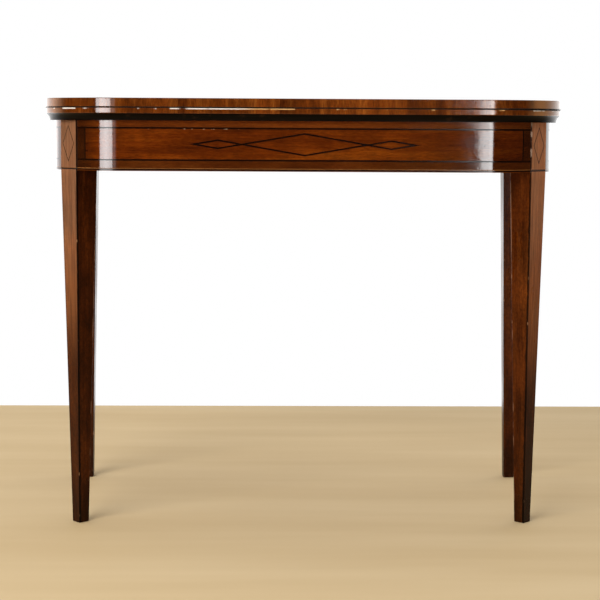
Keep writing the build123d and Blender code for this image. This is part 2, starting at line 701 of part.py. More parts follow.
# Hinges
def make_hinges():
    inner, outer = hinge_halves()
    pin = end_disc(HINGE_PIN_RADIUS, inner[0], outer[1])
    for side, solid in both_sides(pin).items():
        save("hinge_pin_" + side, solid)
    for leaf, leaf_name in ((1, "upper"), (-1, "lower")):
        for side, solid in both_sides(hinge_plate(leaf)).items():
            save("hinge_plate_" + leaf_name + "_" + side, solid)
        one = hinge_screw() - screw_slot(HINGE_SCREW_HEAD_RADIUS)
        screws = Compound([place * one for place in hinge_screw_places(leaf)])
        pair = both_sides(screws)
        save("hinge_screws_" + leaf_name, Compound([pair["left"], pair["right"]]))


# Back of the frame: inner rail, fixed outer rail, gate rail and rear legs
def finger_heights(index):
    """Heights of one finger of the knuckle joint, before its gaps."""
    step = (GATE_TOP - GATE_BOTTOM) / FINGER_COUNT
    return GATE_BOTTOM + index * step, GATE_BOTTOM + (index + 1) * step


def knuckle_rail(side, length):
    """A rail that runs from the knuckle to the right (1) or left (-1), about the pin's axis."""
    half = KNUCKLE_RADIUS
    start = side * SHOULDER
    end = side * length
    body = block((min(start, end), max(start, end)), (-half, half), (GATE_BOTTOM, GATE_TOP))
    first = 0 if side > 0 else 1
    for index in range(first, FINGER_COUNT, 2):
        low, high = finger_heights(index)
        low += FINGER_GAP / 2 if index > 0 else 0
        high -= FINGER_GAP / 2 if index < FINGER_COUNT - 1 else 0
        body += block((min(0, start), max(0, start)), (-half, half), (low, high))
        body += Pos(0, 0, (low + high) / 2) * Cylinder(half, high - low)
    clearance = 0 if side > 0 else GATE_PIN_CLEARANCE
    body -= gate_pin_solid(GATE_PIN_RADIUS + clearance)
    return body


def gate_pin_solid(radius):
    height = GATE_TOP - GATE_BOTTOM
    return Pos(0, 0, (GATE_BOTTOM + GATE_TOP) / 2) * Cylinder(radius, height)


def tenon(side, length):
    """The tenon at the leg end of a back rail."""
    start = side * length
    end = side * (length + TENON_LENGTH)
    heights = (GATE_BOTTOM + TENON_SHOULDER, GATE_TOP - TENON_SHOULDER)
    thickness = (-TENON_THICKNESS / 2, TENON_THICKNESS / 2)
    return block((min(start, end), max(start, end)), thickness, heights)


def rail_screw_places():
    """Where screws go through the fixed outer rail into the inner rail."""
    first = GATE_PIVOT_X + RAIL_SCREW_END_MARGIN
    last = REAR_LEG_INNER_X - RAIL_SCREW_END_MARGIN
    step = (last - first) / (RAIL_SCREW_COLUMNS - 1)
    middle = (GATE_BOTTOM + GATE_TOP) / 2
    places = []
    for row in (-1, 1):
        for index in range(RAIL_SCREW_COLUMNS):
            x = first + index * step
            spot = Pos(x, GATE_AXIS_Y + KNUCKLE_RADIUS, middle + row * RAIL_SCREW_ROW_OFFSET)
            places.append(spot * Rot(-QUARTER_TURN, 0, 0))
    return places


def rail_screw():
    length = SHOULDER + KNUCKLE_RADIUS + RAIL_SCREW_BITE
    return screw(
        FIXING_SCREW_RADIUS,
        FIXING_SCREW_HEAD_RADIUS,
        FIXING_SCREW_HEAD_HEIGHT,
        length,
        countersunk=True,
    )


def make_back():
    axis = Pos(GATE_PIVOT_X, GATE_AXIS_Y, 0)
    lengths = {1: REAR_LEG_INNER_X - GATE_PIVOT_X, -1: REAR_LEG_INNER_X + GATE_PIVOT_X}
    screws = [place * rail_screw() for place in rail_screw_places()]
    inner_x = FRIEZE_HALF - RAIL_INSIDE
    inner_y = (REAR_LEG_FRONT_Y - BACK_RAIL_THICKNESS, REAR_LEG_FRONT_Y)
    inner_rail = block((-inner_x, inner_x), inner_y, (FRAME_BOTTOM, FRAME_TOP))

    fixed = knuckle_rail(1, lengths[1])
    packing_start = SHOULDER + GATE_CLEARANCE
    packing_y = (-SHOULDER, -KNUCKLE_RADIUS)
    fixed += block((packing_start, lengths[1]), packing_y, (GATE_BOTTOM, GATE_TOP))
    fixed_tenon = tenon(1, lengths[1])
    fixed = axis * (fixed + fixed_tenon)
    gate_tenon = tenon(-1, lengths[-1])
    gate = axis * (knuckle_rail(-1, lengths[-1]) + gate_tenon)

    fixed_leg = Pos(REAR_LEG_X, FRAME_BACK_Y - REAR_LEG_SIDE / 2, 0) * tapered_leg(REAR_LEG_SIDE, FRAME_TOP)
    gate_leg = Pos(-REAR_LEG_X, FRAME_BACK_Y - REAR_LEG_SIDE / 2, 0) * tapered_leg(REAR_LEG_SIDE, GATE_TOP)
    for solid in screws:
        inner_rail -= solid
        fixed -= solid
    save("inner_back_rail", inner_rail)
    save("fixed_outer_rail", fixed)
    save("gate_rail", gate)
    save("gate_pin", axis * gate_pin_solid(GATE_PIN_RADIUS))
    save("rear_leg_fixed", fixed_leg - axis * fixed_tenon)
    save("gate_leg", gate_leg - axis * gate_tenon)
    slot = screw_slot(FIXING_SCREW_HEAD_RADIUS)
    slotted = [place * (rail_screw() - slot) for place in rail_screw_places()]
    save("back_rail_screws", Compound(slotted))


# Glue blocks under the leaf, each with one screw up into it
def block_places():
    """Plan places and lengths along X or Y of the glue blocks."""
    front_y = FRIEZE_FRONT_Y + RAIL_INSIDE + BLOCK_SIDE / 2
    side_x = FRIEZE_HALF - RAIL_INSIDE - BLOCK_SIDE / 2
    back_y = REAR_LEG_FRONT_Y - BACK_RAIL_THICKNESS - BLOCK_SIDE / 2
    side_y = (CORNER_Y + back_y) / 2
    places = [(index * BLOCK_SPACING, y, True) for y in (front_y, back_y) for index in (-1, 0, 1)]
    return places + [(side * side_x, side_y, False) for side in (-1, 1)]


def fixing_screw():
    length = BLOCK_SIDE + FIXING_SCREW_HEAD_HEIGHT + FIXING_SCREW_BITE
    one = screw(
        FIXING_SCREW_RADIUS,
        FIXING_SCREW_HEAD_RADIUS,
        FIXING_SCREW_HEAD_HEIGHT,
        length,
        countersunk=False,
    )
    return Rot(HALF_TURN, 0, 0) * one


def make_glue_blocks():
    """Save the blocks and their screws, and return the screws for the leaf's holes."""
    low = FRAME_TOP - BLOCK_SIDE
    head_z = low - FIXING_SCREW_HEAD_HEIGHT
    blocks = []
    screws = []
    slotted = []
    slot = Rot(HALF_TURN, 0, 0) * screw_slot(FIXING_SCREW_HEAD_RADIUS)
    for x, y, along_x in block_places():
        sizes = (BLOCK_LENGTH, BLOCK_SIDE) if along_x else (BLOCK_SIDE, BLOCK_LENGTH)
        one = Pos(x, y, 0) * raise_face(Rectangle(*sizes), low, FRAME_TOP)
        pin = Pos(x, y, head_z) * fixing_screw()
        blocks.append(one - pin)
        screws.append(pin)
        slotted.append(Pos(x, y, head_z) * (fixing_screw() - slot))
    save("glue_blocks", Compound(blocks))
    save("top_fixing_screws", Compound(slotted))
    return screws


front_legs = make_front_legs()
make_rail_core(front_legs)
make_front_veneers()
make_side_veneers()
make_upper_leaf()
make_lower_leaf(make_glue_blocks())
make_moulding()
make_hinges()
make_back()
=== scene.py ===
import math

import bpy
from mathutils import Matrix, Vector, noise


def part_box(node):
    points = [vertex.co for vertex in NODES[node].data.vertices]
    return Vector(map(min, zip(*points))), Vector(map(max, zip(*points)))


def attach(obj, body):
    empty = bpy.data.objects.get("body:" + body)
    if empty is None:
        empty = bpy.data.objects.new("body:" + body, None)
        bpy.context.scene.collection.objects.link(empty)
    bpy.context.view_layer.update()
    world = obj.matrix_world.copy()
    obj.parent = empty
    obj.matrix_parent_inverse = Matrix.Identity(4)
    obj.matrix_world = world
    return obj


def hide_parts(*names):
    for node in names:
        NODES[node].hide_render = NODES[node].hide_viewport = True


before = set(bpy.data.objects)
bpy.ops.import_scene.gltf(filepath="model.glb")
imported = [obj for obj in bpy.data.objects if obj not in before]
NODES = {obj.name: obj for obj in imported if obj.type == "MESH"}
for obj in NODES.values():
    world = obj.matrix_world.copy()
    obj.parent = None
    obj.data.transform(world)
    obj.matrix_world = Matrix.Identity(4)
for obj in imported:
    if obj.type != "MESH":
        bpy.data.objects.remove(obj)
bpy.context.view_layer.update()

# Looks of the fold-over card table. Metres, +Z up, -Y is the front, as in the frame.

# Camera of the photograph, fitted to the table's edges. The picture is 600 x 600 pixels.
PICTURE_PIXELS = 600.0
CAMERA_PLACE = Vector((-0.0548, -2.8318, 0.7027))
CAMERA_YAW = -0.01814
CAMERA_PITCH = 0.07598
CAMERA_ROLL = 0.00565
FOCAL_PIXELS = 1534.6
OPTICAL_AXIS_ROW = 240.0
SENSOR_MM = 36.0

# The frieze: places from the frame, and the sizes that no box gives
FRIEZE_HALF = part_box("end_lips")[1].x
FRIEZE_FRONT_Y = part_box("frieze_lip_front")[0].y
FRIEZE_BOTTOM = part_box("frieze_lip_front")[0].z
FRIEZE_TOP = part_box("frieze_crossbanding")[1].z
FRIEZE_CORNER_RADIUS = 0.125
CORNER_X = FRIEZE_HALF - FRIEZE_CORNER_RADIUS
CORNER_Y = FRIEZE_FRONT_Y + FRIEZE_CORNER_RADIUS
BORDER_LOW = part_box("frieze_border_string")[0].z
BORDER_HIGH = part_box("frieze_border_string")[1].z
BORDER_STRING = 0.0022
LOZENGE_STRING = 0.0021
LOZENGE_LOW, LOZENGE_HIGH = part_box("frieze_lozenge_strings")
LOZENGE_MIDDLE_Z = (LOZENGE_LOW.z + LOZENGE_HIGH.z) / 2
BIG_LOZENGE_HALVES = (0.107, 0.0184)
SMALL_LOZENGE_HALVES = (0.041, 0.007)
SMALL_LOZENGE_X = BIG_LOZENGE_HALVES[0] + SMALL_LOZENGE_HALVES[0]

# The legs: the middle of the right-hand one of each pair, how far it is turned, and its half side
FRONT_LEG_LOW, FRONT_LEG_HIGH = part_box("front_leg_right")
REAR_LEG_LOW, REAR_LEG_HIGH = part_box("rear_leg_fixed")
FRONT_LEG = {
    "axis": (FRONT_LEG_LOW + FRONT_LEG_HIGH) / 2,
    "angle": math.radians(47.0),
    "half": 0.0223,
}
REAR_LEG = {
    "axis": (REAR_LEG_LOW + REAR_LEG_HIGH) / 2,
    "angle": 0.0,
    "half": (REAR_LEG_HIGH.x - REAR_LEG_LOW.x) / 2,
}
FOOT_HALF = 0.0102

# The leaves
LEAF_BACK_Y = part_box("upper_leaf_edge_band")[1].y
LEAF_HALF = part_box("upper_leaf_edge_band")[1].x
LEAF_THICKNESS = 0.0155
LOWER_LEAF_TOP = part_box("lower_leaf_edge_band")[1].z
LOWER_LEAF_BOTTOM = LOWER_LEAF_TOP - LEAF_THICKNESS
LEAF_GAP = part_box("upper_leaf_edge_band")[0].z - LOWER_LEAF_TOP


class Graph:
    """A node tree under construction, with short names for its nodes."""

    def __init__(self, owner):
        owner.use_nodes = True
        self.tree = owner.node_tree
        self.tree.nodes.clear()

    def node(self, kind, inputs=None, **settings):
        made = self.tree.nodes.new(kind)
        for key, value in settings.items():
            setattr(made, key, value)
        for key, value in (inputs or {}).items():
            if isinstance(value, bpy.types.NodeSocket):
                self.tree.links.new(value, made.inputs[key])
            else:
                made.inputs[key].default_value = value
        return made

    def split(self, vector):
        return self.node("ShaderNodeSeparateXYZ", {0: vector}).outputs

    def join(self, x, y, z):
        return self.node("ShaderNodeCombineXYZ", {0: x, 1: y, 2: z}).outputs[0]

    def scaled(self, places, rates):
        """Vector of three places, each times its own rate."""
        return self.join(*[self.times(place, rate) for place, rate in zip(places, rates)])

    def math(self, operation, first, second=0.0):
        inputs = {0: first, 1: second}
        return self.node("ShaderNodeMath", inputs, operation=operation).outputs[0]

    def add(self, *terms):
        total = terms[0]
        for term in terms[1:]:
            total = self.math("ADD", total, term)
        return total

    def times(self, first, second):
        return self.math("MULTIPLY", first, second)

    def minus(self, first, second):
        return self.math("SUBTRACT", first, second)

    def size(self, value):
        return self.math("ABSOLUTE", value)

    def between(self, value, low, high, low_value=0.0, high_value=1.0, smooth=True):
        """low_value below low, high_value above high, and a step from one to the other."""
        inputs = {
            "Value": value, "From Min": low, "From Max": high,
            "To Min": low_value, "To Max": high_value,
        }
        kind = "SMOOTHSTEP" if smooth else "LINEAR"
        return self.node("ShaderNodeMapRange", inputs, interpolation_type=kind).outputs[0]

    def within(self, value, near, far, most=1.0):
        """most where the value is below near, and none where it is above far."""
        return self.between(value, near, far, most, 0.0)

    def around(self, value, middle, near, far, most=1.0):
        """most where the value is less than near from the middle, and none more than far from it."""
        return self.within(self.size(self.minus(value, middle)), near, far, most)

    def mix(self, factor, first, second):
        """The first value at factor 0, and the second at factor 1."""
        inputs = {0: factor, 2: first, 3: second}
        return self.node("ShaderNodeMix", inputs, data_type="FLOAT").outputs[0]

    def noise(self, vector, scale=1.0, detail=2.0, roughness=0.5, distortion=0.0):
        inputs = {
            "Vector": vector, "Scale": scale, "Detail": detail,
            "Roughness": roughness, "Distortion": distortion,
        }
        return self.node("ShaderNodeTexNoise", inputs).outputs[0]

    def varied(self, pattern, low_value, high_value):
        """A value that follows a noise, whose own values lie mostly between 0.3 and 0.7."""
        return self.between(pattern, 0.3, 0.7, low_value, high_value)

    def cells(self, vector, scale=1.0, output="Distance"):
        return self.node("ShaderNodeTexVoronoi", {"Vector": vector, "Scale": scale}).outputs[output]

    def chance(self, vector):
        """One random value from 0 to 1 for each value of the vector."""
        return self.node("ShaderNodeTexWhiteNoise", {"Vector": vector}).outputs[0]

    def marks(self, place, near, far, rarity):
        """Spots in the middle of some of the place's cells: rarity 0 marks them all, and 1 none."""
        picked = self.math("GREATER_THAN", self.chance(self.cells(place, output="Position")), rarity)
        return self.times(self.within(self.cells(place), near, far), picked)

    def ramp(self, value, stops):
        made = self.node("ShaderNodeValToRGB", {0: value})
        elements = made.color_ramp.elements
        while len(elements) < len(stops):
            elements.new(0.5)
        for element, (position, colour) in zip(elements, stops):
            element.position = position
            element.color = (*colour, 1.0)
        return made.outputs[0]

    def blend(self, factor, first, second, kind="MIX"):
        """The first colour at factor 0, and the second, blended as kind says, at factor 1."""
        made = self.node("ShaderNodeMix", data_type="RGBA", blend_type=kind)
        for index, value in ((0, factor), (6, first), (7, second)):
            if isinstance(value, bpy.types.NodeSocket):
                self.tree.links.new(value, made.inputs[index])
            elif index:
                made.inputs[index].default_value = (*value, 1.0)
            else:
                made.inputs[index].default_value = value
        return made.outputs[2]

    def shade(self, colour, value):
        """The colour times a value."""
        grey = self.join(value, value, value)
        return self.blend(1.0, colour, grey, "MULTIPLY")

    def bump(self, height, distance, normal=None):
        inputs = {"Height": height, "Distance": distance, "Strength": 1.0}
        if normal is not None:
            inputs["Normal"] = normal
        return self.node("ShaderNodeBump", inputs).outputs[0]


class Surface(Graph):
    """A material under construction, with the place and the facing of each point of the piece."""

    def __init__(self, name):
        self.material = bpy.data.materials.new(name)
        super().__init__(self.material)
        coordinates = self.node("ShaderNodeTexCoord").outputs
        self.place = coordinates["Object"]
        self.facing = coordinates["Normal"]
        self.x, self.y, self.z = self.split(self.place)

    def finish(self, colour, roughness, normal, **gloss):
        """Principled surface. The values in gloss are the same all over it."""
        inputs = {"Base Color": colour, "Roughness": roughness, "Normal": normal}
        for name, value in gloss.items():
            inputs[name.replace("_", " ").title().replace("Ior", "IOR")] = value
        surface = self.node("ShaderNodeBsdfPrincipled", inputs)
        self.node("ShaderNodeOutputMaterial", {0: surface.outputs[0]})
        return self.material


def d_path(graph):
    """Distance along the D-shaped outline from the middle of the front, and out from its corners."""
    wide = graph.size(graph.x)
    out_x = graph.math("MAXIMUM", graph.minus(wide, CORNER_X), 0.0)
    out_y = graph.math("MAXIMUM", graph.minus(CORNER_Y, graph.y), 0.0)
    turn = graph.math("ARCTAN2", out_x, out_y)
    front = graph.math("MINIMUM", wide, CORNER_X)
    side = graph.math("MAXIMUM", graph.minus(graph.y, CORNER_Y), 0.0)
    length = graph.add(front, graph.times(turn, FRIEZE_CORNER_RADIUS), side)
    along = graph.times(length, graph.math("SIGN", graph.x))
    out = graph.math("SQRT", graph.add(graph.times(out_x, out_x), graph.times(out_y, out_y)))
    return along, out


# Looks of polished wood. The colours are those of its dark, middle and light tones, and spread is
# how much the tone has to change to go through them. drift, streak and figure are rates of change
# per metre, along and across the grain. gloss is the range of roughness.
PANEL_LOOK = {
    "dark": (0.046, 0.0075, 0.0006), "mid": (0.108, 0.0185, 0.0010), "light": (0.185, 0.043, 0.0030),
    "drift": (3.2, 34.0), "streak": (9.0, 150.0), "figure": (22.0, 30.0),
    "figure_strength": 0.18, "speckle": 0.30, "spread": 0.17, "gloss": (0.03, 0.055),
}
BANDING_LOOK = {
    "dark": (0.050, 0.010, 0.0012), "mid": (0.098, 0.021, 0.0022), "light": (0.155, 0.041, 0.0055),
    "drift": (6.0, 20.0), "streak": (14.0, 90.0), "figure": (8.0, 16.0),
    "figure_strength": 0.14, "speckle": 0.22, "spread": 0.22, "gloss": (0.045, 0.085),
}
EDGE_LOOK = {
    "dark": (0.048, 0.0095, 0.0010), "mid": (0.122, 0.027, 0.0028), "light": (0.250, 0.074, 0.0110),
    "drift": (9.0, 46.0), "streak": (20.0, 120.0), "figure": (10.0, 26.0),
    "figure_strength": 0.24, "speckle": 0.32, "spread": 0.20, "gloss": (0.045, 0.075),
}
LEAF_LOOK = {
    "dark": (0.062, 0.014, 0.0020), "mid": (0.135, 0.035, 0.0050), "light": (0.235, 0.075, 0.0140),
    "drift": (1.3, 9.0), "streak": (3.0, 120.0), "figure": (14.0, 5.0),
    "figure_strength": 0.14, "speckle": 0.16, "spread": 0.19, "gloss": (0.13, 0.18),
}
LEG_LOOK = {
    "dark": (0.017, 0.0030, 0.0002), "mid": (0.040, 0.0080, 0.0008), "light": (0.085, 0.0210, 0.0030),
    "drift": (3.0, 46.0), "streak": (7.0, 180.0), "figure": (12.0, 22.0),
    "figure_strength": 0.22, "speckle": 0.25, "spread": 0.21, "gloss": (0.26, 0.38),
}
# Dirt and painted shade where the leaves meet, and that dirt's roughness
DIRT_AND_SHADE = (0.006, 0.0025, 0.001)
DIRT_ROUGHNESS = 0.5


def wood(graph, along, across, depth, look):
    """Colour, height and roughness of polished wood whose grain runs along the first coordinate."""

    def stretched(along_rate, across_rate):
        return graph.scaled((along, across, depth), (along_rate, across_rate, across_rate))

    drift = graph.noise(stretched(*look["drift"]), detail=2.0, distortion=0.4)
    streak = graph.noise(stretched(*look["streak"]), detail=4.0, roughness=0.6, distortion=0.3)
    fibre = graph.noise(stretched(22.0, 1100.0), detail=3.0, roughness=0.6)
    figure = graph.noise(stretched(*look["figure"]), detail=2.0, distortion=0.6)
    tone = graph.add(graph.times(drift, 0.42), graph.times(streak, 0.40), graph.times(fibre, 0.18))
    tone = graph.between(tone, 0.5 - look["spread"], 0.5 + look["spread"], smooth=False)
    colour = graph.ramp(tone, [(0.0, look["dark"]), (0.5, look["mid"]), (1.0, look["light"])])
    speckle = graph.noise(stretched(90.0, 480.0), detail=4.0, roughness=0.65)
    for pattern, strength in ((figure, look["figure_strength"]), (speckle, look["speckle"])):
        colour = graph.shade(colour, graph.varied(pattern, 1.0 - strength, 1.0 + strength))
    pores = graph.between(graph.noise(stretched(170.0, 3200.0), detail=1.0), 0.62, 0.74)
    colour = graph.shade(colour, graph.between(pores, 0.0, 1.0, 1.0, 0.62, smooth=False))
    height = graph.add(graph.times(fibre, 0.35), graph.times(pores, -0.5))
    smear = graph.noise(stretched(9.0, 26.0), detail=3.0)
    return colour, height, graph.varied(smear, *look["gloss"])


JOINT_WIDTH = 0.0002


def pieced_wood(graph, along, up_grain, depth, look, length, shift, tones):
    """Cross-grained veneer in short pieces of one length, with dark joints. Each piece has its own
    figure, moved by shift from its neighbour's, and its own tone."""
    count = graph.times(along, 1.0 / length)
    piece = graph.math("FLOOR", count)
    part = graph.math("FRACT", count)
    shifted = graph.add(along, graph.times(piece, shift))
    colour, height, roughness = wood(graph, up_grain, shifted, depth, look)
    tone = graph.between(graph.chance(graph.join(piece, 0.37, 0.0)), 0.0, 1.0, *tones)
    from_joint = graph.math("MINIMUM", part, graph.minus(1.0, part))
    joint = graph.between(from_joint, 0.0, JOINT_WIDTH / length, 0.7, 1.0)
    return graph.shade(colour, graph.times(joint, tone)), height, roughness


SLOW_BUMP = 0.00003
DENT_BUMP = 0.000004
GRAIN_BUMP = 0.000004
LEVEL_GRAIN_BUMP = 0.000001


def polished(graph, colour, height, roughness, specular=0.5, grain_bump=GRAIN_BUMP):
    """Old French polish over wood: fine grain, dents, and a slow unevenness that bends reflections."""
    slow = graph.noise(graph.place, scale=38.0, detail=2.0)
    dents = graph.between(graph.cells(graph.place, scale=85.0), 0.05, 0.22)
    normal = graph.bump(slow, SLOW_BUMP)
    normal = graph.bump(dents, DENT_BUMP, normal)
    normal = graph.bump(height, grain_bump, normal)
    return graph.finish(colour, roughness, normal, specular_ior_level=specular)


# Wear and painted shade of the frieze. Places along it are measured from the middle of the front,
# to the right. A stretch is what Graph.around takes: its middle, near, far and most.
RIGHT_CORNER_ALONG = 0.40
BESIDE_LEFT_LEG_ALONG = -0.395
MORE_CHIPS_STRETCH = (-0.160, 0.035, 0.055, 0.12)
CHIP_HEIGHT = 0.0036
CHIP_FADE = 0.0010
CHIP_COLOUR = (0.42, 0.28, 0.18)
NICK_COLOUR = (0.42, 0.30, 0.20)
END_BAND_PAINTED_SHADE = 0.62


def painted_shade_at_corners(graph, colour, along):
    """Painted shade: the frieze veneers are darkest at their right-hand corner, and beside the left leg.
    """
    from_corner = graph.size(graph.minus(along, RIGHT_CORNER_ALONG))
    from_leg = graph.size(graph.minus(along, BESIDE_LEFT_LEG_ALONG))
    # Painted shade at the right-hand corner, and beside the left leg
    right = graph.between(from_corner, 0.06, 0.35, 0.62, 1.0)
    left = graph.between(from_leg, 0.012, 0.050, 0.40, 1.0)
    return graph.shade(colour, graph.times(right, left))


def from_lozenge(graph, x, z, halves):
    """Distance from the sides of a lozenge whose half length and half height are given."""
    half_length, half_height = halves
    across = graph.times(graph.size(x), 1.0 / half_length)
    up = graph.times(graph.size(z), 1.0 / half_height)
    past_sides = graph.minus(graph.add(across, up), 1.0)
    return graph.times(past_sides, half_length * half_height / math.hypot(half_length, half_height))


def from_border(graph):
    """Height above or below the middle of the nearer level border string."""
    low = graph.size(graph.minus(graph.z, BORDER_LOW + BORDER_STRING / 2))
    high = graph.size(graph.minus(graph.z, BORDER_HIGH - BORDER_STRING / 2))
    return graph.math("MINIMUM", low, high)


def beside_string(graph, distance, width):
    """Tone of the veneer beside a string: dark glue and dirt along its edges."""
    return graph.between(graph.size(distance), width / 2 + 0.0002, width / 2 + 0.0009, 0.35, 1.0)


def panel_veneer():
    """Figured veneer of the frieze's panels, with pale chips under the top border string."""
    graph = Surface("panel_veneer")
    along, out = d_path(graph)
    colour, height, roughness = wood(graph, along, graph.z, out, PANEL_LOOK)
    colour = painted_shade_at_corners(graph, colour, along)
    up = graph.minus(graph.z, LOZENGE_MIDDLE_Z)
    small_x = graph.minus(graph.size(graph.x), SMALL_LOZENGE_X)
    from_big = from_lozenge(graph, graph.x, up, BIG_LOZENGE_HALVES)
    from_small = from_lozenge(graph, small_x, up, SMALL_LOZENGE_HALVES)
    beside_big = beside_string(graph, from_big, LOZENGE_STRING)
    beside_small = beside_string(graph, from_small, LOZENGE_STRING)
    colour = graph.shade(colour, graph.times(beside_big, beside_small))
    colour = graph.shade(colour, beside_string(graph, from_border(graph), BORDER_STRING))
    more_chips = graph.around(along, *MORE_CHIPS_STRETCH)
    chips = graph.noise(graph.join(graph.times(along, 85.0), 0.0, 0.0), detail=2.0)
    chips = graph.between(graph.add(chips, more_chips), 0.67, 0.72)
    chip_bottom = BORDER_HIGH - CHIP_HEIGHT
    below_string = graph.between(graph.z, chip_bottom, chip_bottom + CHIP_FADE)
    colour = graph.blend(graph.times(chips, below_string), colour, CHIP_COLOUR)
    nick_place = graph.join(graph.times(along, 24.0), graph.times(graph.z, 40.8), 0.0)
    nicks = graph.marks(nick_place, 0.02, 0.05, rarity=0.985)
    colour = graph.blend(nicks, colour, NICK_COLOUR)
    return polished(graph, colour, height, roughness)


def frieze_banding():
    """Bands round the panels, with level grain: painted light upwards, painted shade at the panels' ends.
    """
    graph = Surface("frieze_banding")
    along, out = d_path(graph)
    colour, height, roughness = wood(graph, along, graph.z, out, BANDING_LOOK)
    # Painted light: the bands get lighter upwards, and lighter still right under the moulding
    painted_light_upwards = graph.between(graph.z, BORDER_LOW, BORDER_HIGH, 0.72, 1.22)
    painted_light_under_moulding = graph.between(graph.z, BORDER_HIGH, FRIEZE_TOP - 0.002, 1.0, 1.7)
    level_band = graph.shade(colour, graph.times(painted_light_upwards, painted_light_under_moulding))
    # Painted shade: the bands beside the panels' ends are darker
    above_low_band = graph.math("GREATER_THAN", graph.z, BORDER_LOW)
    below_high_band = graph.math("LESS_THAN", graph.z, BORDER_HIGH)
    at_panel_end = graph.times(above_low_band, below_high_band)
    colour = graph.blend(at_panel_end, level_band, graph.shade(colour, END_BAND_PAINTED_SHADE))
    colour = painted_shade_at_corners(graph, colour, along)
    colour = graph.shade(colour, beside_string(graph, from_border(graph), BORDER_STRING))
    return polished(graph, colour, height, roughness, grain_bump=LEVEL_GRAIN_BUMP)


def lip_veneer():
    """The thin lip along the bottom of the frieze, darkened by painted shade."""
    graph = Surface("frieze_lip")
    along, out = d_path(graph)
    colour, height, roughness = wood(graph, along, graph.z, out, BANDING_LOOK)
    return polished(graph, graph.shade(colour, 0.8), height, roughness, specular=0.3)


# Wear, dirt and painted light and shade of the leaves' edges. Places along them are measured as
# on the frieze. A reach is a pair: how far a mark is full, and how far it goes.
EDGE_PIECE_LENGTH = 0.043
PAINTED_REFLECTION_LEFT = (-0.435, -0.400)
PAINTED_REFLECTION_RIGHT = (0.368, 0.408)
PAINTED_REFLECTION_COLOUR = (0.40, 0.195, 0.082)
BOTTOM_SHADE_REACH = (0.0008, 0.0030)
RUBBED_AND_GLINT_DEPTH = 0.0016
RUBBED_AND_GLINT_FADE = 0.0004
RUBBED_AND_GLINT_RAGGED = 0.0012
MOST_RUBBED_AND_GLINT_STRETCH = (-0.123, 0.100, 0.112, 0.17)
SOME_RUBBED_AND_GLINT_STRETCH = (-0.145, 0.120, 0.130, 0.06)
GLINT_ENDS_STRETCH = (0.399, 0.010, 0.018, 0.20)
GOLDEN_FROM = (-0.12, -0.08)
GOLDEN_TO = (0.36, 0.37)
RUBBED_AND_GLINT_PALE = (0.80, 0.74, 0.66)
RUBBED_AND_GLINT_GOLDEN = (0.62, 0.36, 0.14)
GAP_DIRT_AND_SHADE_REACH = (0.0010, 0.0014)
WIDER_GAP_DIRT_AND_SHADE = 0.0006
WIDER_GAP_DIRT_AND_SHADE_ALONG = (0.30, 0.40)


def rubbed_and_glinting_arris(graph, colour, along):
    """The top arris of the lower leaf, rubbed and with painted glints: golden in the middle, pale to both
    sides.
    """
    # Rubs and painted glints along the arris, pale at its ends
    rubs_and_glints = graph.noise(graph.join(graph.times(along, 26.0), 0.0, 0.0), detail=4.0, roughness=0.7)
    most = graph.around(along, *MOST_RUBBED_AND_GLINT_STRETCH)
    some = graph.around(along, *SOME_RUBBED_AND_GLINT_STRETCH)
    at_ends = graph.around(graph.size(along), *GLINT_ENDS_STRETCH)
    more = graph.math("MAXIMUM", graph.math("MAXIMUM", most, some), at_ends)
    rubbed_and_glint = graph.between(graph.add(rubs_and_glints, more), 0.56, 0.64, 0.0, 0.95)
    golden = graph.times(graph.between(along, *GOLDEN_FROM), graph.within(along, *GOLDEN_TO))
    rubbed_and_glint_colour = graph.blend(golden, RUBBED_AND_GLINT_PALE, RUBBED_AND_GLINT_GOLDEN)
    ragged = graph.times(graph.noise(graph.place, scale=420.0, detail=2.0), RUBBED_AND_GLINT_RAGGED)
    from_arris = graph.add(graph.size(graph.minus(graph.z, LOWER_LEAF_TOP - RUBBED_AND_GLINT_DEPTH)), ragged)
    on_arris = graph.within(from_arris, RUBBED_AND_GLINT_DEPTH, RUBBED_AND_GLINT_DEPTH + RUBBED_AND_GLINT_FADE)
    return graph.blend(graph.times(rubbed_and_glint, on_arris), colour, rubbed_and_glint_colour)


def gap_dirt_and_shade(graph, along):
    """Dirt and painted shade on the arrises where the leaves meet, wider at the right. Level faces stay
    clean.
    """
    from_gap = graph.size(graph.minus(graph.z, LOWER_LEAF_TOP + LEAF_GAP / 2))
    wider = graph.between(along, *WIDER_GAP_DIRT_AND_SHADE_ALONG, 0.0, WIDER_GAP_DIRT_AND_SHADE)
    dirt = graph.within(graph.minus(from_gap, wider), *GAP_DIRT_AND_SHADE_REACH)
    not_level = graph.math("LESS_THAN", graph.size(graph.split(graph.facing)[2]), 0.95)
    return graph.times(dirt, not_level)


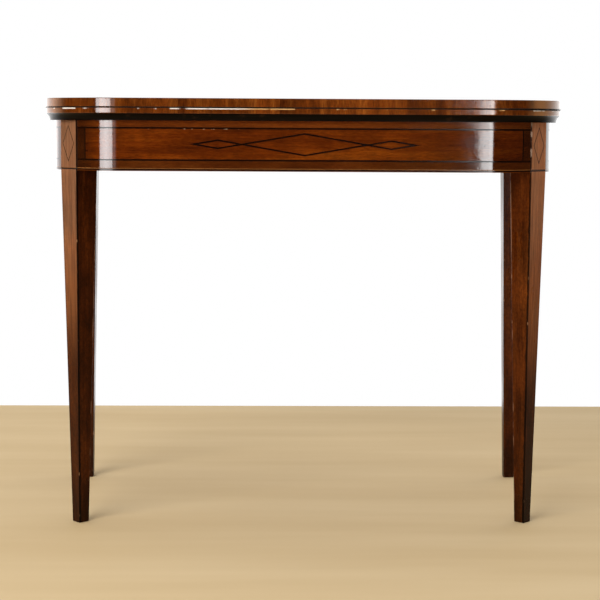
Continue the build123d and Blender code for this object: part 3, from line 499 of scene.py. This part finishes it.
def edge_banding():
    """Edge of a leaf: short upright-grained pieces, pale ends from painted reflection, painted shade at
    the bottom.
    """
    graph = Surface("leaf_edge_banding")
    along, out = d_path(graph)
    colour, height, roughness = pieced_wood(
        graph, along, graph.z, out, EDGE_LOOK, EDGE_PIECE_LENGTH, shift=0.37, tones=(0.78, 1.18),
    )
    # Painted reflection: the edge turns pale towards its ends
    left_end = graph.within(along, *PAINTED_REFLECTION_LEFT, 0.45)
    right_end = graph.between(along, *PAINTED_REFLECTION_RIGHT, 0.0, 0.95)
    colour = graph.blend(graph.add(left_end, right_end), colour, PAINTED_REFLECTION_COLOUR)
    # Painted shade: the lower leaf's edge darkens towards its bottom
    full, none = [LOWER_LEAF_BOTTOM + reach for reach in BOTTOM_SHADE_REACH]
    colour = graph.shade(colour, graph.between(graph.z, full, none, 0.25, 1.0))
    colour = rubbed_and_glinting_arris(graph, colour, along)
    dirt = gap_dirt_and_shade(graph, along)
    colour = graph.blend(dirt, colour, DIRT_AND_SHADE)
    return polished(graph, colour, height, graph.add(roughness, graph.times(dirt, DIRT_ROUGHNESS)))


TOP_PIECE_LENGTH = 0.105
BACK_PIECE_LENGTH = 0.112
TOP_PIECE_TONES = (0.85, 1.15)
BACK_DIRT_AND_SHADE_REACH = (0.0006, 0.0014)


def top_banding():
    """Border of the top: pieces with the grain square to the edge, mitred at the back corners."""
    graph = Surface("top_banding")
    along, out = d_path(graph)
    front, front_height, roughness = pieced_wood(
        graph, along, out, graph.z, BANDING_LOOK, TOP_PIECE_LENGTH, shift=0.29, tones=TOP_PIECE_TONES,
    )
    back, back_height = pieced_wood(
        graph, graph.x, graph.y, graph.z, BANDING_LOOK, BACK_PIECE_LENGTH,
        shift=0.23, tones=TOP_PIECE_TONES,
    )[:2]
    from_back = graph.minus(LEAF_BACK_Y, graph.y)
    from_side = graph.minus(LEAF_HALF, graph.size(graph.x))
    at_back = graph.math("LESS_THAN", from_back, from_side)
    colour = graph.blend(at_back, front, back)
    return polished(graph, colour, graph.mix(at_back, front_height, back_height), roughness)


def leaf_wood():
    """Solid mahogany of the leaves, with dirt and painted shade along the gap between their back edges."""
    graph = Surface("leaf_mahogany")
    colour, height, roughness = wood(graph, graph.x, graph.y, graph.times(graph.z, 3.0), LEAF_LOOK)
    at_back = graph.math("GREATER_THAN", graph.y, LEAF_BACK_Y - 0.0005)
    dirt = graph.times(at_back, graph.around(graph.z, LOWER_LEAF_TOP, *BACK_DIRT_AND_SHADE_REACH))
    colour = graph.blend(dirt, colour, DIRT_AND_SHADE)
    return polished(graph, colour, height, graph.add(roughness, graph.times(dirt, DIRT_ROUGHNESS)))


# Wear, fading and painted light, sheen and shade of the legs. Heights are pairs: where a change
# starts, and where it is full.
LEFT_LEG_TONE = 1.1
RIGHT_PAINTED_LIGHT_HEIGHTS = (0.35, 0.50)
FADED_AND_LIT_HEIGHTS = (0.26, 0.44)
REDDISH_TO_GREY_HEIGHTS = (0.40, 0.56)
RIGHT_PALER_HEIGHTS = (0.40, 0.60)
LOW_FACE_SHADE = 0.80
FADED_SHEEN_LOW = (0.205, 0.074, 0.024)
FADED_SHEEN_HIGH = (0.184, 0.087, 0.040)
RIGHT_LIT_LOWER = 0.06
BLOCK_RUB_COLOUR = (0.40, 0.27, 0.19)
LONG_RUB_COLOUR = (0.27, 0.135, 0.075)
KNOCK_COLOUR = (0.34, 0.17, 0.08)
FOOT_SHADE_HEIGHT = 0.13
OUTER_FACE_DEPTH = (0.0006, 0.0016)
INNER_FACE_DEPTH = (0.0003, 0.0008)
ARRIS_DIRT_REACH = (0.0003, 0.0016)
GRIME_REACH = (0.0010, 0.0026)
GRIME_RAGGED = 0.0036
BLOCK_RUB_REACH = (0.0010, 0.0022)
REAR_RUB_REACH = (0.0014, 0.0026)
KNOCK_REACH = (0.0010, 0.0022)


def leg_frame(graph, leg):
    """Place in the square section of a leg, towards its outer or front face and towards its inner
    one, and the half side, which tapers from the frieze to the floor."""
    x = graph.minus(graph.size(graph.x), leg["axis"][0])
    y = graph.minus(graph.y, leg["axis"][1])
    sine, cosine = math.sin(leg["angle"]), math.cos(leg["angle"])
    outward = graph.add(graph.times(x, sine), graph.times(y, -cosine))
    inward = graph.add(graph.times(x, -cosine), graph.times(y, -sine))
    half = graph.between(graph.z, 0.0, FRIEZE_BOTTOM, FOOT_HALF, leg["half"], smooth=False)
    return outward, inward, half


def mottled_with_painted_light(graph, colour, right_side):
    """Uneven dark polish. Painted light makes the right-hand legs lighter, most of all above the middle.
    """
    mottle = graph.noise(graph.scaled((graph.x, graph.y, graph.z), (40.0, 40.0, 15.0)), detail=4.0)
    colour = graph.shade(colour, graph.varied(mottle, 0.76, 1.26))
    speckle = graph.noise(graph.place, scale=210.0, detail=3.0)
    colour = graph.shade(colour, graph.between(speckle, 0.35, 0.65, 0.84, 1.16))
    # Painted light: the right-hand legs are lighter
    right_painted_light = graph.between(graph.z, *RIGHT_PAINTED_LIGHT_HEIGHTS, 1.2, 1.6)
    return graph.shade(colour, graph.mix(right_side, LEFT_LEG_TONE, right_painted_light))


def faded_with_painted_light(graph, colour, right_side):
    """Colour of a front leg's outer face: faded, with painted sheen and light, most above the middle and
    at the right.
    """
    grain = graph.noise(graph.scaled((graph.x, graph.y, graph.z), (300.0, 300.0, 14.0)), detail=3.0)
    # Painted sheen: the face turns greyer upwards
    higher = graph.between(graph.z, *REDDISH_TO_GREY_HEIGHTS)
    faded_sheen = graph.blend(higher, FADED_SHEEN_LOW, FADED_SHEEN_HIGH)
    faded_sheen = graph.shade(faded_sheen, graph.between(grain, 0.35, 0.65, 0.74, 1.26))
    high_face = graph.blend(0.7, graph.shade(colour, 3.0), faded_sheen)
    # Painted light: the right leg's face is paler above the middle
    paler = graph.between(graph.z, *RIGHT_PALER_HEIGHTS, 1.2, 2.0)
    high_face = graph.shade(high_face, graph.mix(right_side, 1.0, paler))
    # Painted light: lighter still on the leg's block
    on_block = graph.between(graph.z, FRIEZE_BOTTOM - 0.02, FRIEZE_BOTTOM, 1.0, 1.15)
    high_face = graph.shade(high_face, on_block)
    # Painted shade: darker below the middle
    low_face = graph.shade(colour, LOW_FACE_SHADE)
    faded_and_lit_height = graph.add(graph.z, graph.times(right_side, RIGHT_LIT_LOWER))
    return graph.blend(graph.between(faded_and_lit_height, *FADED_AND_LIT_HEIGHTS), low_face, high_face)


def dirty_arrises(graph, colour, from_arris, from_outer_face, from_inner_face):
    """Dirt on every arris, and a wider ragged line of grime on the inner face's front arris."""
    dirt = graph.within(from_arris, *ARRIS_DIRT_REACH, 0.55)
    colour = graph.shade(colour, graph.minus(1.0, dirt))
    ragged = graph.times(graph.noise(graph.place, scale=90.0, detail=2.0), GRIME_RAGGED)
    grime = graph.within(graph.minus(from_outer_face, ragged), *GRIME_REACH, 0.85)
    on_inner_face = graph.within(from_inner_face, *INNER_FACE_DEPTH)
    return graph.shade(colour, graph.minus(1.0, graph.times(grime, on_inner_face)))


def rubbed_block(graph, colour, from_inner_face, right_side):
    """The right front leg's block is rubbed pale where it meets the frieze's panel."""
    rub = graph.noise(graph.join(0.29, 0.37, graph.times(graph.z, 60.0)), detail=3.0)
    rub = graph.between(rub, 0.42, 0.54, 0.0, 0.6)
    beside_panel = graph.within(from_inner_face, *BLOCK_RUB_REACH)
    on_block = graph.math("GREATER_THAN", graph.z, FRIEZE_BOTTOM)
    rub = graph.times(graph.times(rub, beside_panel), graph.times(on_block, right_side))
    return graph.blend(rub, colour, BLOCK_RUB_COLOUR)


def rubbed_rear_arris(graph, colour, from_rear_face, from_inner_face):
    """Long rubs on the inner face's rear arris."""
    rub = graph.noise(graph.join(graph.x, 0.37, graph.times(graph.z, 17.0)), detail=3.0)
    rub = graph.between(rub, 0.48, 0.56, 0.0, 0.6)
    on_inner_face = graph.within(from_inner_face, *INNER_FACE_DEPTH)
    on_rear_arris = graph.times(graph.within(from_rear_face, *REAR_RUB_REACH), on_inner_face)
    return graph.blend(graph.times(rub, on_rear_arris), colour, LONG_RUB_COLOUR)


def knocked_arrises(graph, colour, from_arris):
    """Small pale knocks on the arrises."""
    side = graph.math("SIGN", graph.x)
    place = graph.scaled((graph.z, from_arris, side), (55.0, 300.0, 4.0))
    knocks = graph.marks(place, 0.10, 0.24, rarity=0.58)
    near_arris = graph.within(from_arris, *KNOCK_REACH)
    return graph.blend(graph.times(knocks, near_arris), colour, KNOCK_COLOUR)


def leg_wood(name, leg, specular, outer_face_faded_and_lit):
    """Wood of a pair of legs, with worn arrises and dark feet."""
    graph = Surface(name)
    outward, inward, half = leg_frame(graph, leg)
    from_outer_face = graph.minus(half, outward)
    from_inner_face = graph.minus(half, inward)
    from_rear_face = graph.add(half, outward)
    from_arris = graph.minus(half, graph.math("MINIMUM", graph.size(outward), graph.size(inward)))
    right_side = graph.math("GREATER_THAN", graph.x, 0.0)
    other_figure = graph.times(graph.math("SIGN", graph.x), 0.7)
    colour, height, roughness = wood(graph, graph.add(graph.z, other_figure), outward, inward, LEG_LOOK)
    colour = mottled_with_painted_light(graph, colour, right_side)
    if outer_face_faded_and_lit:
        on_outer_face = graph.within(from_outer_face, *OUTER_FACE_DEPTH)
        colour = graph.blend(on_outer_face, colour, faded_with_painted_light(graph, colour, right_side))
    colour = dirty_arrises(graph, colour, from_arris, from_outer_face, from_inner_face)
    colour = rubbed_block(graph, colour, from_inner_face, right_side)
    colour = rubbed_rear_arris(graph, colour, from_rear_face, from_inner_face)
    colour = knocked_arrises(graph, colour, from_arris)
    colour = graph.shade(colour, graph.between(graph.z, 0.0, FOOT_SHADE_HEIGHT, 0.45, 1.0))
    return polished(graph, colour, height, roughness, specular=specular)


def stringing(name, dark, light, rate=60.0, spread=0.20, roughness=0.12, specular=0.22):
    """A thin inlaid string, with fine grain along it."""
    graph = Surface(name)
    along, out = d_path(graph)
    streak = graph.noise(graph.scaled((along, graph.z, out), (rate, 900.0, 900.0)), detail=3.0)
    colour = graph.ramp(streak, [(0.5 - spread, dark), (0.5 + spread, light)])
    return polished(graph, colour, streak, roughness, specular=specular)


def ebonised():
    """Black moulding, worn brown in places."""
    graph = Surface("ebonised_moulding")
    along, out = d_path(graph)
    grain = graph.noise(graph.scaled((along, graph.z, out), (14.0, 700.0, 700.0)), detail=4.0)
    colour = graph.ramp(grain, [(0.3, (0.0018, 0.0012, 0.0008)), (0.75, (0.007, 0.0040, 0.0021))])
    wear = graph.between(graph.noise(graph.place, scale=60.0, detail=4.0), 0.62, 0.74)
    colour = graph.blend(graph.times(wear, 0.35), colour, (0.045, 0.020, 0.008))
    roughness = graph.between(wear, 0.0, 1.0, 0.28, 0.5)
    return polished(graph, colour, grain, roughness, specular=0.05)


PINE_DARK = (0.24, 0.13, 0.055)
PINE_LIGHT = (0.44, 0.28, 0.14)
SOIL = 0.3


def bare_wood(name, dark, light, along_axis="x"):
    """Unpolished wood that has browned with age, with saw marks across the grain."""
    graph = Surface(name)
    along, across = (graph.x, graph.y) if along_axis == "x" else (graph.y, graph.x)
    places = (along, across, graph.z)
    rings = graph.noise(graph.scaled(places, (2.4, 120.0, 120.0)), detail=3.0, distortion=0.5)
    fibre = graph.noise(graph.scaled(places, (30.0, 1300.0, 1300.0)), detail=3.0)
    tone = graph.add(graph.times(rings, 0.7), graph.times(fibre, 0.3))
    colour = graph.ramp(graph.between(tone, 0.36, 0.64), [(0.0, dark), (1.0, light)])
    grime = graph.between(graph.noise(graph.scaled(places, (5.0, 24.0, 24.0)), detail=4.0), 0.42, 0.75)
    colour = graph.shade(colour, graph.between(grime, 0.0, 1.0, 1.0, 1.0 - SOIL))
    saw = graph.noise(graph.scaled(places, (260.0, 20.0, 20.0)), detail=1.0)
    normal = graph.bump(graph.add(graph.times(fibre, 0.7), graph.times(saw, 0.5)), 0.00015)
    return graph.finish(colour, 0.78, normal, specular_ior_level=0.3)


def tarnished_metal(name, bright, dull, roughness_range):
    """Old metal, dull in patches and finely scratched."""
    graph = Surface(name)
    tarnish = graph.between(graph.noise(graph.place, scale=110.0, detail=6.0, roughness=0.6), 0.30, 0.72)
    colour = graph.blend(tarnish, bright, dull)
    scratch = graph.noise(graph.scaled((graph.x, graph.y, graph.z), (2600.0, 300.0, 2600.0)), detail=2.0)
    roughness = graph.between(tarnish, 0.0, 1.0, *roughness_range)
    normal = graph.bump(graph.add(scratch, graph.times(tarnish, 0.8)), 0.00003)
    return graph.finish(colour, roughness, normal, metallic=1.0)


WEAVE_RATE = 5200.0


def baize_cloth():
    """Green wool baize, faded in patches."""
    graph = Surface("green_baize")
    patch = graph.noise(graph.place, scale=5.0, detail=3.0)
    felt = graph.noise(graph.place, scale=130.0, detail=5.0, roughness=0.65)
    fuzz = graph.noise(graph.place, scale=900.0, detail=4.0, roughness=0.7)
    weave_x = graph.math("SINE", graph.times(graph.add(graph.x, graph.y), WEAVE_RATE))
    weave_y = graph.math("SINE", graph.times(graph.minus(graph.x, graph.y), WEAVE_RATE))
    weave = graph.times(weave_x, weave_y)
    tone = graph.add(graph.times(patch, 0.22), graph.times(felt, 0.40), graph.times(fuzz, 0.38))
    colour = graph.ramp(
        graph.between(tone, 0.38, 0.62),
        [(0.0, (0.024, 0.080, 0.032)), (0.5, (0.036, 0.108, 0.043)), (1.0, (0.052, 0.136, 0.057))],
    )
    rub = graph.between(graph.noise(graph.place, scale=3.2, detail=3.0), 0.50, 0.68)
    colour = graph.blend(graph.times(rub, 0.10), colour, (0.13, 0.17, 0.085))
    normal = graph.bump(graph.add(graph.times(weave, 0.35), fuzz), 0.00035)
    return graph.finish(
        colour, 0.95, normal,
        specular_ior_level=0.2, sheen_weight=0.35, sheen_roughness=0.5, sheen_tint=(0.62, 0.8, 0.62, 1.0),
    )


FINISHES = [
    (panel_veneer(), ["frieze_panel_veneer", "end_panel_veneers"]),
    (frieze_banding(), ["frieze_crossbanding", "end_crossbandings"]),
    (lip_veneer(), ["frieze_lip_front", "end_lips"]),
    (edge_banding(), ["upper_leaf_edge_band", "lower_leaf_edge_band"]),
    (top_banding(), ["top_crossbanding"]),
    (leaf_wood(), ["upper_leaf", "lower_leaf"]),
    (leg_wood("front_leg_wood", FRONT_LEG, specular=0.08, outer_face_faded_and_lit=True), [
        "front_leg_left", "front_leg_right",
    ]),
    (leg_wood("rear_leg_wood", REAR_LEG, specular=0.10, outer_face_faded_and_lit=False), [
        "gate_leg", "rear_leg_fixed",
    ]),
    (stringing("black_stringing", (0.003, 0.0012, 0.0006), (0.011, 0.004, 0.002)), [
        "frieze_lozenge_strings", "frieze_border_string", "frieze_black_line_front", "end_black_lines",
        "end_border_strings", "front_leg_black_lines", "top_string",
    ]),
    (stringing("faded_stringing", (0.020, 0.008, 0.003), (0.060, 0.028, 0.012)), [
        "front_leg_lozenge_strings",
    ]),
    (
        stringing(
            "light_stringing", (0.10, 0.034, 0.008), (0.23, 0.090, 0.024),
            rate=45.0, spread=0.25, roughness=0.14, specular=0.3,
        ),
        ["frieze_light_line_front", "end_light_lines", "front_leg_light_lines"],
    ),
    (ebonised(), ["edge_moulding"]),
    (bare_wood("aged_pine", PINE_DARK, PINE_LIGHT), [
        "frieze_core_front", "frieze_core_corner_left", "frieze_core_corner_right",
        "inner_back_rail", "glue_blocks",
    ]),
    (bare_wood("aged_pine_sides", PINE_DARK, PINE_LIGHT, along_axis="y"), [
        "frieze_core_side_left", "frieze_core_side_right",
    ]),
    (bare_wood("stained_beech", (0.085, 0.038, 0.014), (0.19, 0.095, 0.040)), [
        "fixed_outer_rail", "gate_rail",
    ]),
    (tarnished_metal("old_brass", (0.56, 0.37, 0.14), (0.27, 0.165, 0.060), (0.34, 0.52)), [
        "hinge_plate_lower_left", "hinge_plate_lower_right", "hinge_plate_upper_left",
        "hinge_plate_upper_right", "hinge_screws_lower", "hinge_screws_upper",
    ]),
    (tarnished_metal("old_iron", (0.26, 0.24, 0.22), (0.085, 0.055, 0.038), (0.45, 0.7)), [
        "hinge_pin_left", "hinge_pin_right", "gate_pin", "back_rail_screws", "top_fixing_screws",
    ]),
]

for material, names in FINISHES:
    for name in names:
        mesh = NODES[name].data
        mesh.materials.clear()
        mesh.materials.append(material)

# Baize: one glued cloth on each playing face
CLOTH_FRONT_RADIUS = 0.0976
CLOTH_BACK_RADIUS = 0.0056
CLOTH_EDGE = 0.0009
CLOTH_EDGE_DROP = 0.0006
CLOTH_NAP = 0.00042
CLOTH_COLUMNS = 96
CLOTH_ARC_ROWS = 16
CLOTH_STRAIGHT_ROWS = 36
CLOTH_UNEVEN = 0.0001
CLOTH_WAVES = 30.0


def cloth_rows(low, high):
    """(y, half width) of each row of a cloth with rounded corners, from front to back."""
    rows = []
    for step in range(CLOTH_ARC_ROWS):
        angle = math.pi / 2 * step / CLOTH_ARC_ROWS
        y = low.y + CLOTH_FRONT_RADIUS * (1 - math.cos(angle))
        rows.append((y, high.x - CLOTH_FRONT_RADIUS * (1 - math.sin(angle))))
    straight_low = low.y + CLOTH_FRONT_RADIUS
    straight_high = high.y - CLOTH_BACK_RADIUS
    for step in range(CLOTH_STRAIGHT_ROWS):
        y = straight_low + (straight_high - straight_low) * step / CLOTH_STRAIGHT_ROWS
        rows.append((y, high.x))
    for step in range(CLOTH_ARC_ROWS + 1):
        angle = math.pi / 2 * (1 - step / CLOTH_ARC_ROWS)
        y = high.y - CLOTH_BACK_RADIUS * (1 - math.cos(angle))
        rows.append((y, high.x - CLOTH_BACK_RADIUS * (1 - math.sin(angle))))
    first, last = rows[0], rows[-1]
    rows.insert(1, (first[0] + CLOTH_EDGE, first[1] + CLOTH_FRONT_RADIUS / 8))
    rows.insert(len(rows) - 1, (last[0] - CLOTH_EDGE / 3, last[1] + CLOTH_BACK_RADIUS / 2))
    return sorted(rows)


def cloth(name, node, body, face_up):
    """A thin closed sheet in the place of a CAD baize, with its nap side up or down."""
    low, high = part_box(node)
    face, back = (high.z + CLOTH_NAP, low.z) if face_up else (low.z - CLOTH_NAP, high.z)
    into = math.copysign(1.0, back - face)
    rows = cloth_rows(low, high)
    vertices, faces = [], []
    for layer in ("face", "back"):
        for row, (y, half) in enumerate(rows):
            for column in range(CLOTH_COLUMNS + 1):
                share = 2 * column / CLOTH_COLUMNS - 1
                x = share * (half - CLOTH_EDGE)
                at_edge = column in (0, CLOTH_COLUMNS) or row in (0, len(rows) - 1)
                if column in (0, CLOTH_COLUMNS):
                    x = share * half
                if layer == "back":
                    z = back
                else:
                    wave = 0.5 + 0.5 * noise.noise(Vector((x, y, 0.0)) * CLOTH_WAVES)
                    z = face + into * (CLOTH_EDGE_DROP if at_edge else CLOTH_UNEVEN * wave)
                vertices.append((x, y, z))
    stride = CLOTH_COLUMNS + 1
    layer_size = stride * len(rows)
    for row in range(len(rows) - 1):
        for column in range(CLOTH_COLUMNS):
            corner = row * stride + column
            quad = (corner, corner + 1, corner + stride + 1, corner + stride)
            faces.append(quad)
            faces.append(tuple(index + layer_size for index in reversed(quad)))
    ring = list(range(CLOTH_COLUMNS))
    ring += [row * stride + CLOTH_COLUMNS for row in range(len(rows) - 1)]
    ring += [(len(rows) - 1) * stride + column for column in range(CLOTH_COLUMNS, 0, -1)]
    ring += [row * stride for row in range(len(rows) - 1, 0, -1)]
    for index, start in enumerate(ring):
        end = ring[(index + 1) % len(ring)]
        faces.append((end, start, start + layer_size, end + layer_size))
    if not face_up:
        faces = [tuple(reversed(corners)) for corners in faces]
    mesh = bpy.data.meshes.new(name)
    mesh.from_pydata(vertices, [], faces)
    mesh.shade_smooth()
    mesh.materials.append(BAIZE)
    made = bpy.data.objects.new(name, mesh)
    bpy.context.scene.collection.objects.link(made)
    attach(made, body)
    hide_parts(node)


BAIZE = baize_cloth()
cloth("lower_baize_cloth", "lower_baize", "frame", face_up=True)
cloth("upper_baize_cloth", "upper_baize", "folding_leaf", face_up=False)

# Camera
forward = Vector((
    -math.sin(CAMERA_YAW) * math.cos(CAMERA_PITCH),
    math.cos(CAMERA_YAW) * math.cos(CAMERA_PITCH),
    -math.sin(CAMERA_PITCH),
))
level = Vector((math.cos(CAMERA_YAW), math.sin(CAMERA_YAW), 0.0))
upright = level.cross(forward)
right = level * math.cos(CAMERA_ROLL) + upright * math.sin(CAMERA_ROLL)
up = upright * math.cos(CAMERA_ROLL) - level * math.sin(CAMERA_ROLL)
camera_data = bpy.data.cameras.new("camera")
camera_data.sensor_width = SENSOR_MM
camera_data.lens = FOCAL_PIXELS * SENSOR_MM / PICTURE_PIXELS
camera_data.shift_y = (OPTICAL_AXIS_ROW - PICTURE_PIXELS / 2) / PICTURE_PIXELS
camera = bpy.data.objects.new("camera", camera_data)
turned = Matrix((right, up, -forward)).transposed().to_4x4()
camera.matrix_world = Matrix.Translation(CAMERA_PLACE) @ turned
bpy.context.scene.collection.objects.link(camera)
bpy.context.scene.camera = camera

# Floor: plain and pale, up to the line where the photograph's white wall starts
FLOOR_HALF_WIDTH = 3.2
FLOOR_FRONT_Y = -3.6
WALL_Y = 0.95
FLOOR_DARK = (0.66, 0.48, 0.255)
FLOOR_LIGHT = (0.74, 0.56, 0.32)


def pale_floor():
    """Plain pale floor, faintly cloudy from side to side."""
    graph = Surface("pale_floor")
    cloudy = graph.noise(graph.join(graph.times(graph.x, 0.9), graph.times(graph.y, 7.0), 0.0), detail=3.0)
    colour = graph.ramp(cloudy, [(0.3, FLOOR_DARK), (0.7, FLOOR_LIGHT)])
    return graph.finish(colour, 0.7, graph.bump(cloudy, 0.0002), specular_ior_level=0.2)


floor_mesh = bpy.data.meshes.new("floor")
floor_mesh.from_pydata(
    [
        (-FLOOR_HALF_WIDTH, FLOOR_FRONT_Y, 0.0), (FLOOR_HALF_WIDTH, FLOOR_FRONT_Y, 0.0),
        (FLOOR_HALF_WIDTH, WALL_Y, 0.0), (-FLOOR_HALF_WIDTH, WALL_Y, 0.0),
    ],
    [], [(0, 1, 2, 3)],
)
floor_mesh.materials.append(pale_floor())
floor = bpy.data.objects.new("floor", floor_mesh)
bpy.context.scene.collection.objects.link(floor)

# Lights: two windows and a curtain behind the camera, whose edges the polish reflects, a large
# window high at the left, and pale walls and a ceiling
WINDOW_Z = 0.66
WINDOW_HEIGHT = 0.66
WINDOW_SPREAD = 60.0


def softbox(name, place, aim, size, power, reflected=False, spread=180.0):
    """A rectangular studio light that the camera doesn't see, nor the polish unless reflected."""
    data = bpy.data.lights.new(name, "AREA")
    data.shape = "RECTANGLE"
    data.size, data.size_y = size
    data.energy = power
    data.spread = math.radians(spread)
    made = bpy.data.objects.new(name, data)
    made.location = place
    made.rotation_mode = "QUATERNION"
    made.rotation_quaternion = (Vector(aim) - Vector(place)).to_track_quat("-Z", "Y")
    made.visible_camera = False
    made.visible_glossy = reflected
    bpy.context.scene.collection.objects.link(made)


def reflected_window(name, place, aim, width, power):
    """A narrow-beamed light that the polish reflects. Its place and aim are x and y."""
    softbox(
        name, (*place, WINDOW_Z), (*aim, WINDOW_Z), (width, WINDOW_HEIGHT), power,
        reflected=True, spread=WINDOW_SPREAD,
    )


reflected_window("left_window", (-2.65, -4.64), (-0.30, -0.23), 1.85, 5.7)
reflected_window("left_curtain", (-1.64, -5.17), (-0.34, -0.21), 0.42, 0.14)
reflected_window("right_window", (1.26, -5.03), (0.285, -0.21), 0.61, 1.89)
softbox("high_window", (-2.3, -3.4, 2.5), (0.0, 0.0, 0.4), (3.2, 1.6), 62.0, spread=110.0)
softbox("ceiling", (0.0, -0.2, 2.8), (0.0, -0.1, 0.0), (4.0, 3.2), 34.0)
softbox("left_wall", (-2.3, 0.7, 1.15), (0.0, 0.1, 0.55), (1.8, 1.6), 9.0)
softbox("right_wall", (2.0, 1.7, 1.15), (0.0, 0.1, 0.55), (1.8, 1.6), 12.0)
softbox("back_wall", (0.0, 3.4, 1.0), (0.0, 0.0, 0.6), (3.4, 1.8), 18.0)

# World: white wherever the camera looks past the floor. For light and gloss the wall side is
# bright and the room behind the camera is dim. Higher up, the polish sees a dim ceiling all round.
DIM_ROOM = 0.10
WALL_LIGHT = 0.5
DIM_GLOSS = 0.02
WALL_GLOSS = 2.4
CEILING_GLOSS = 0.30

world = bpy.data.worlds.new("studio")
bpy.context.scene.world = world
sky = Graph(world)
direction = sky.split(sky.node("ShaderNodeTexCoord").outputs["Generated"])
ray = sky.node("ShaderNodeLightPath").outputs
light = sky.between(direction[1], 0.0, 0.6, DIM_ROOM, WALL_LIGHT)
low_gloss = sky.between(direction[1], 0.0, 0.9, DIM_GLOSS, WALL_GLOSS)
gloss = sky.mix(sky.between(direction[2], 0.08, 0.30), low_gloss, CEILING_GLOSS)
strength = sky.mix(ray["Is Glossy Ray"], light, gloss)
seen = sky.math("MAXIMUM", ray["Is Camera Ray"], ray["Is Transmission Ray"])
strength = sky.mix(seen, strength, 1.0)
background = sky.node("ShaderNodeBackground", {"Color": (1.0, 1.0, 1.0, 1.0), "Strength": strength})
sky.node("ShaderNodeOutputWorld", {0: background.outputs[0]})

bpy.context.scene.view_settings.view_transform = "Standard"
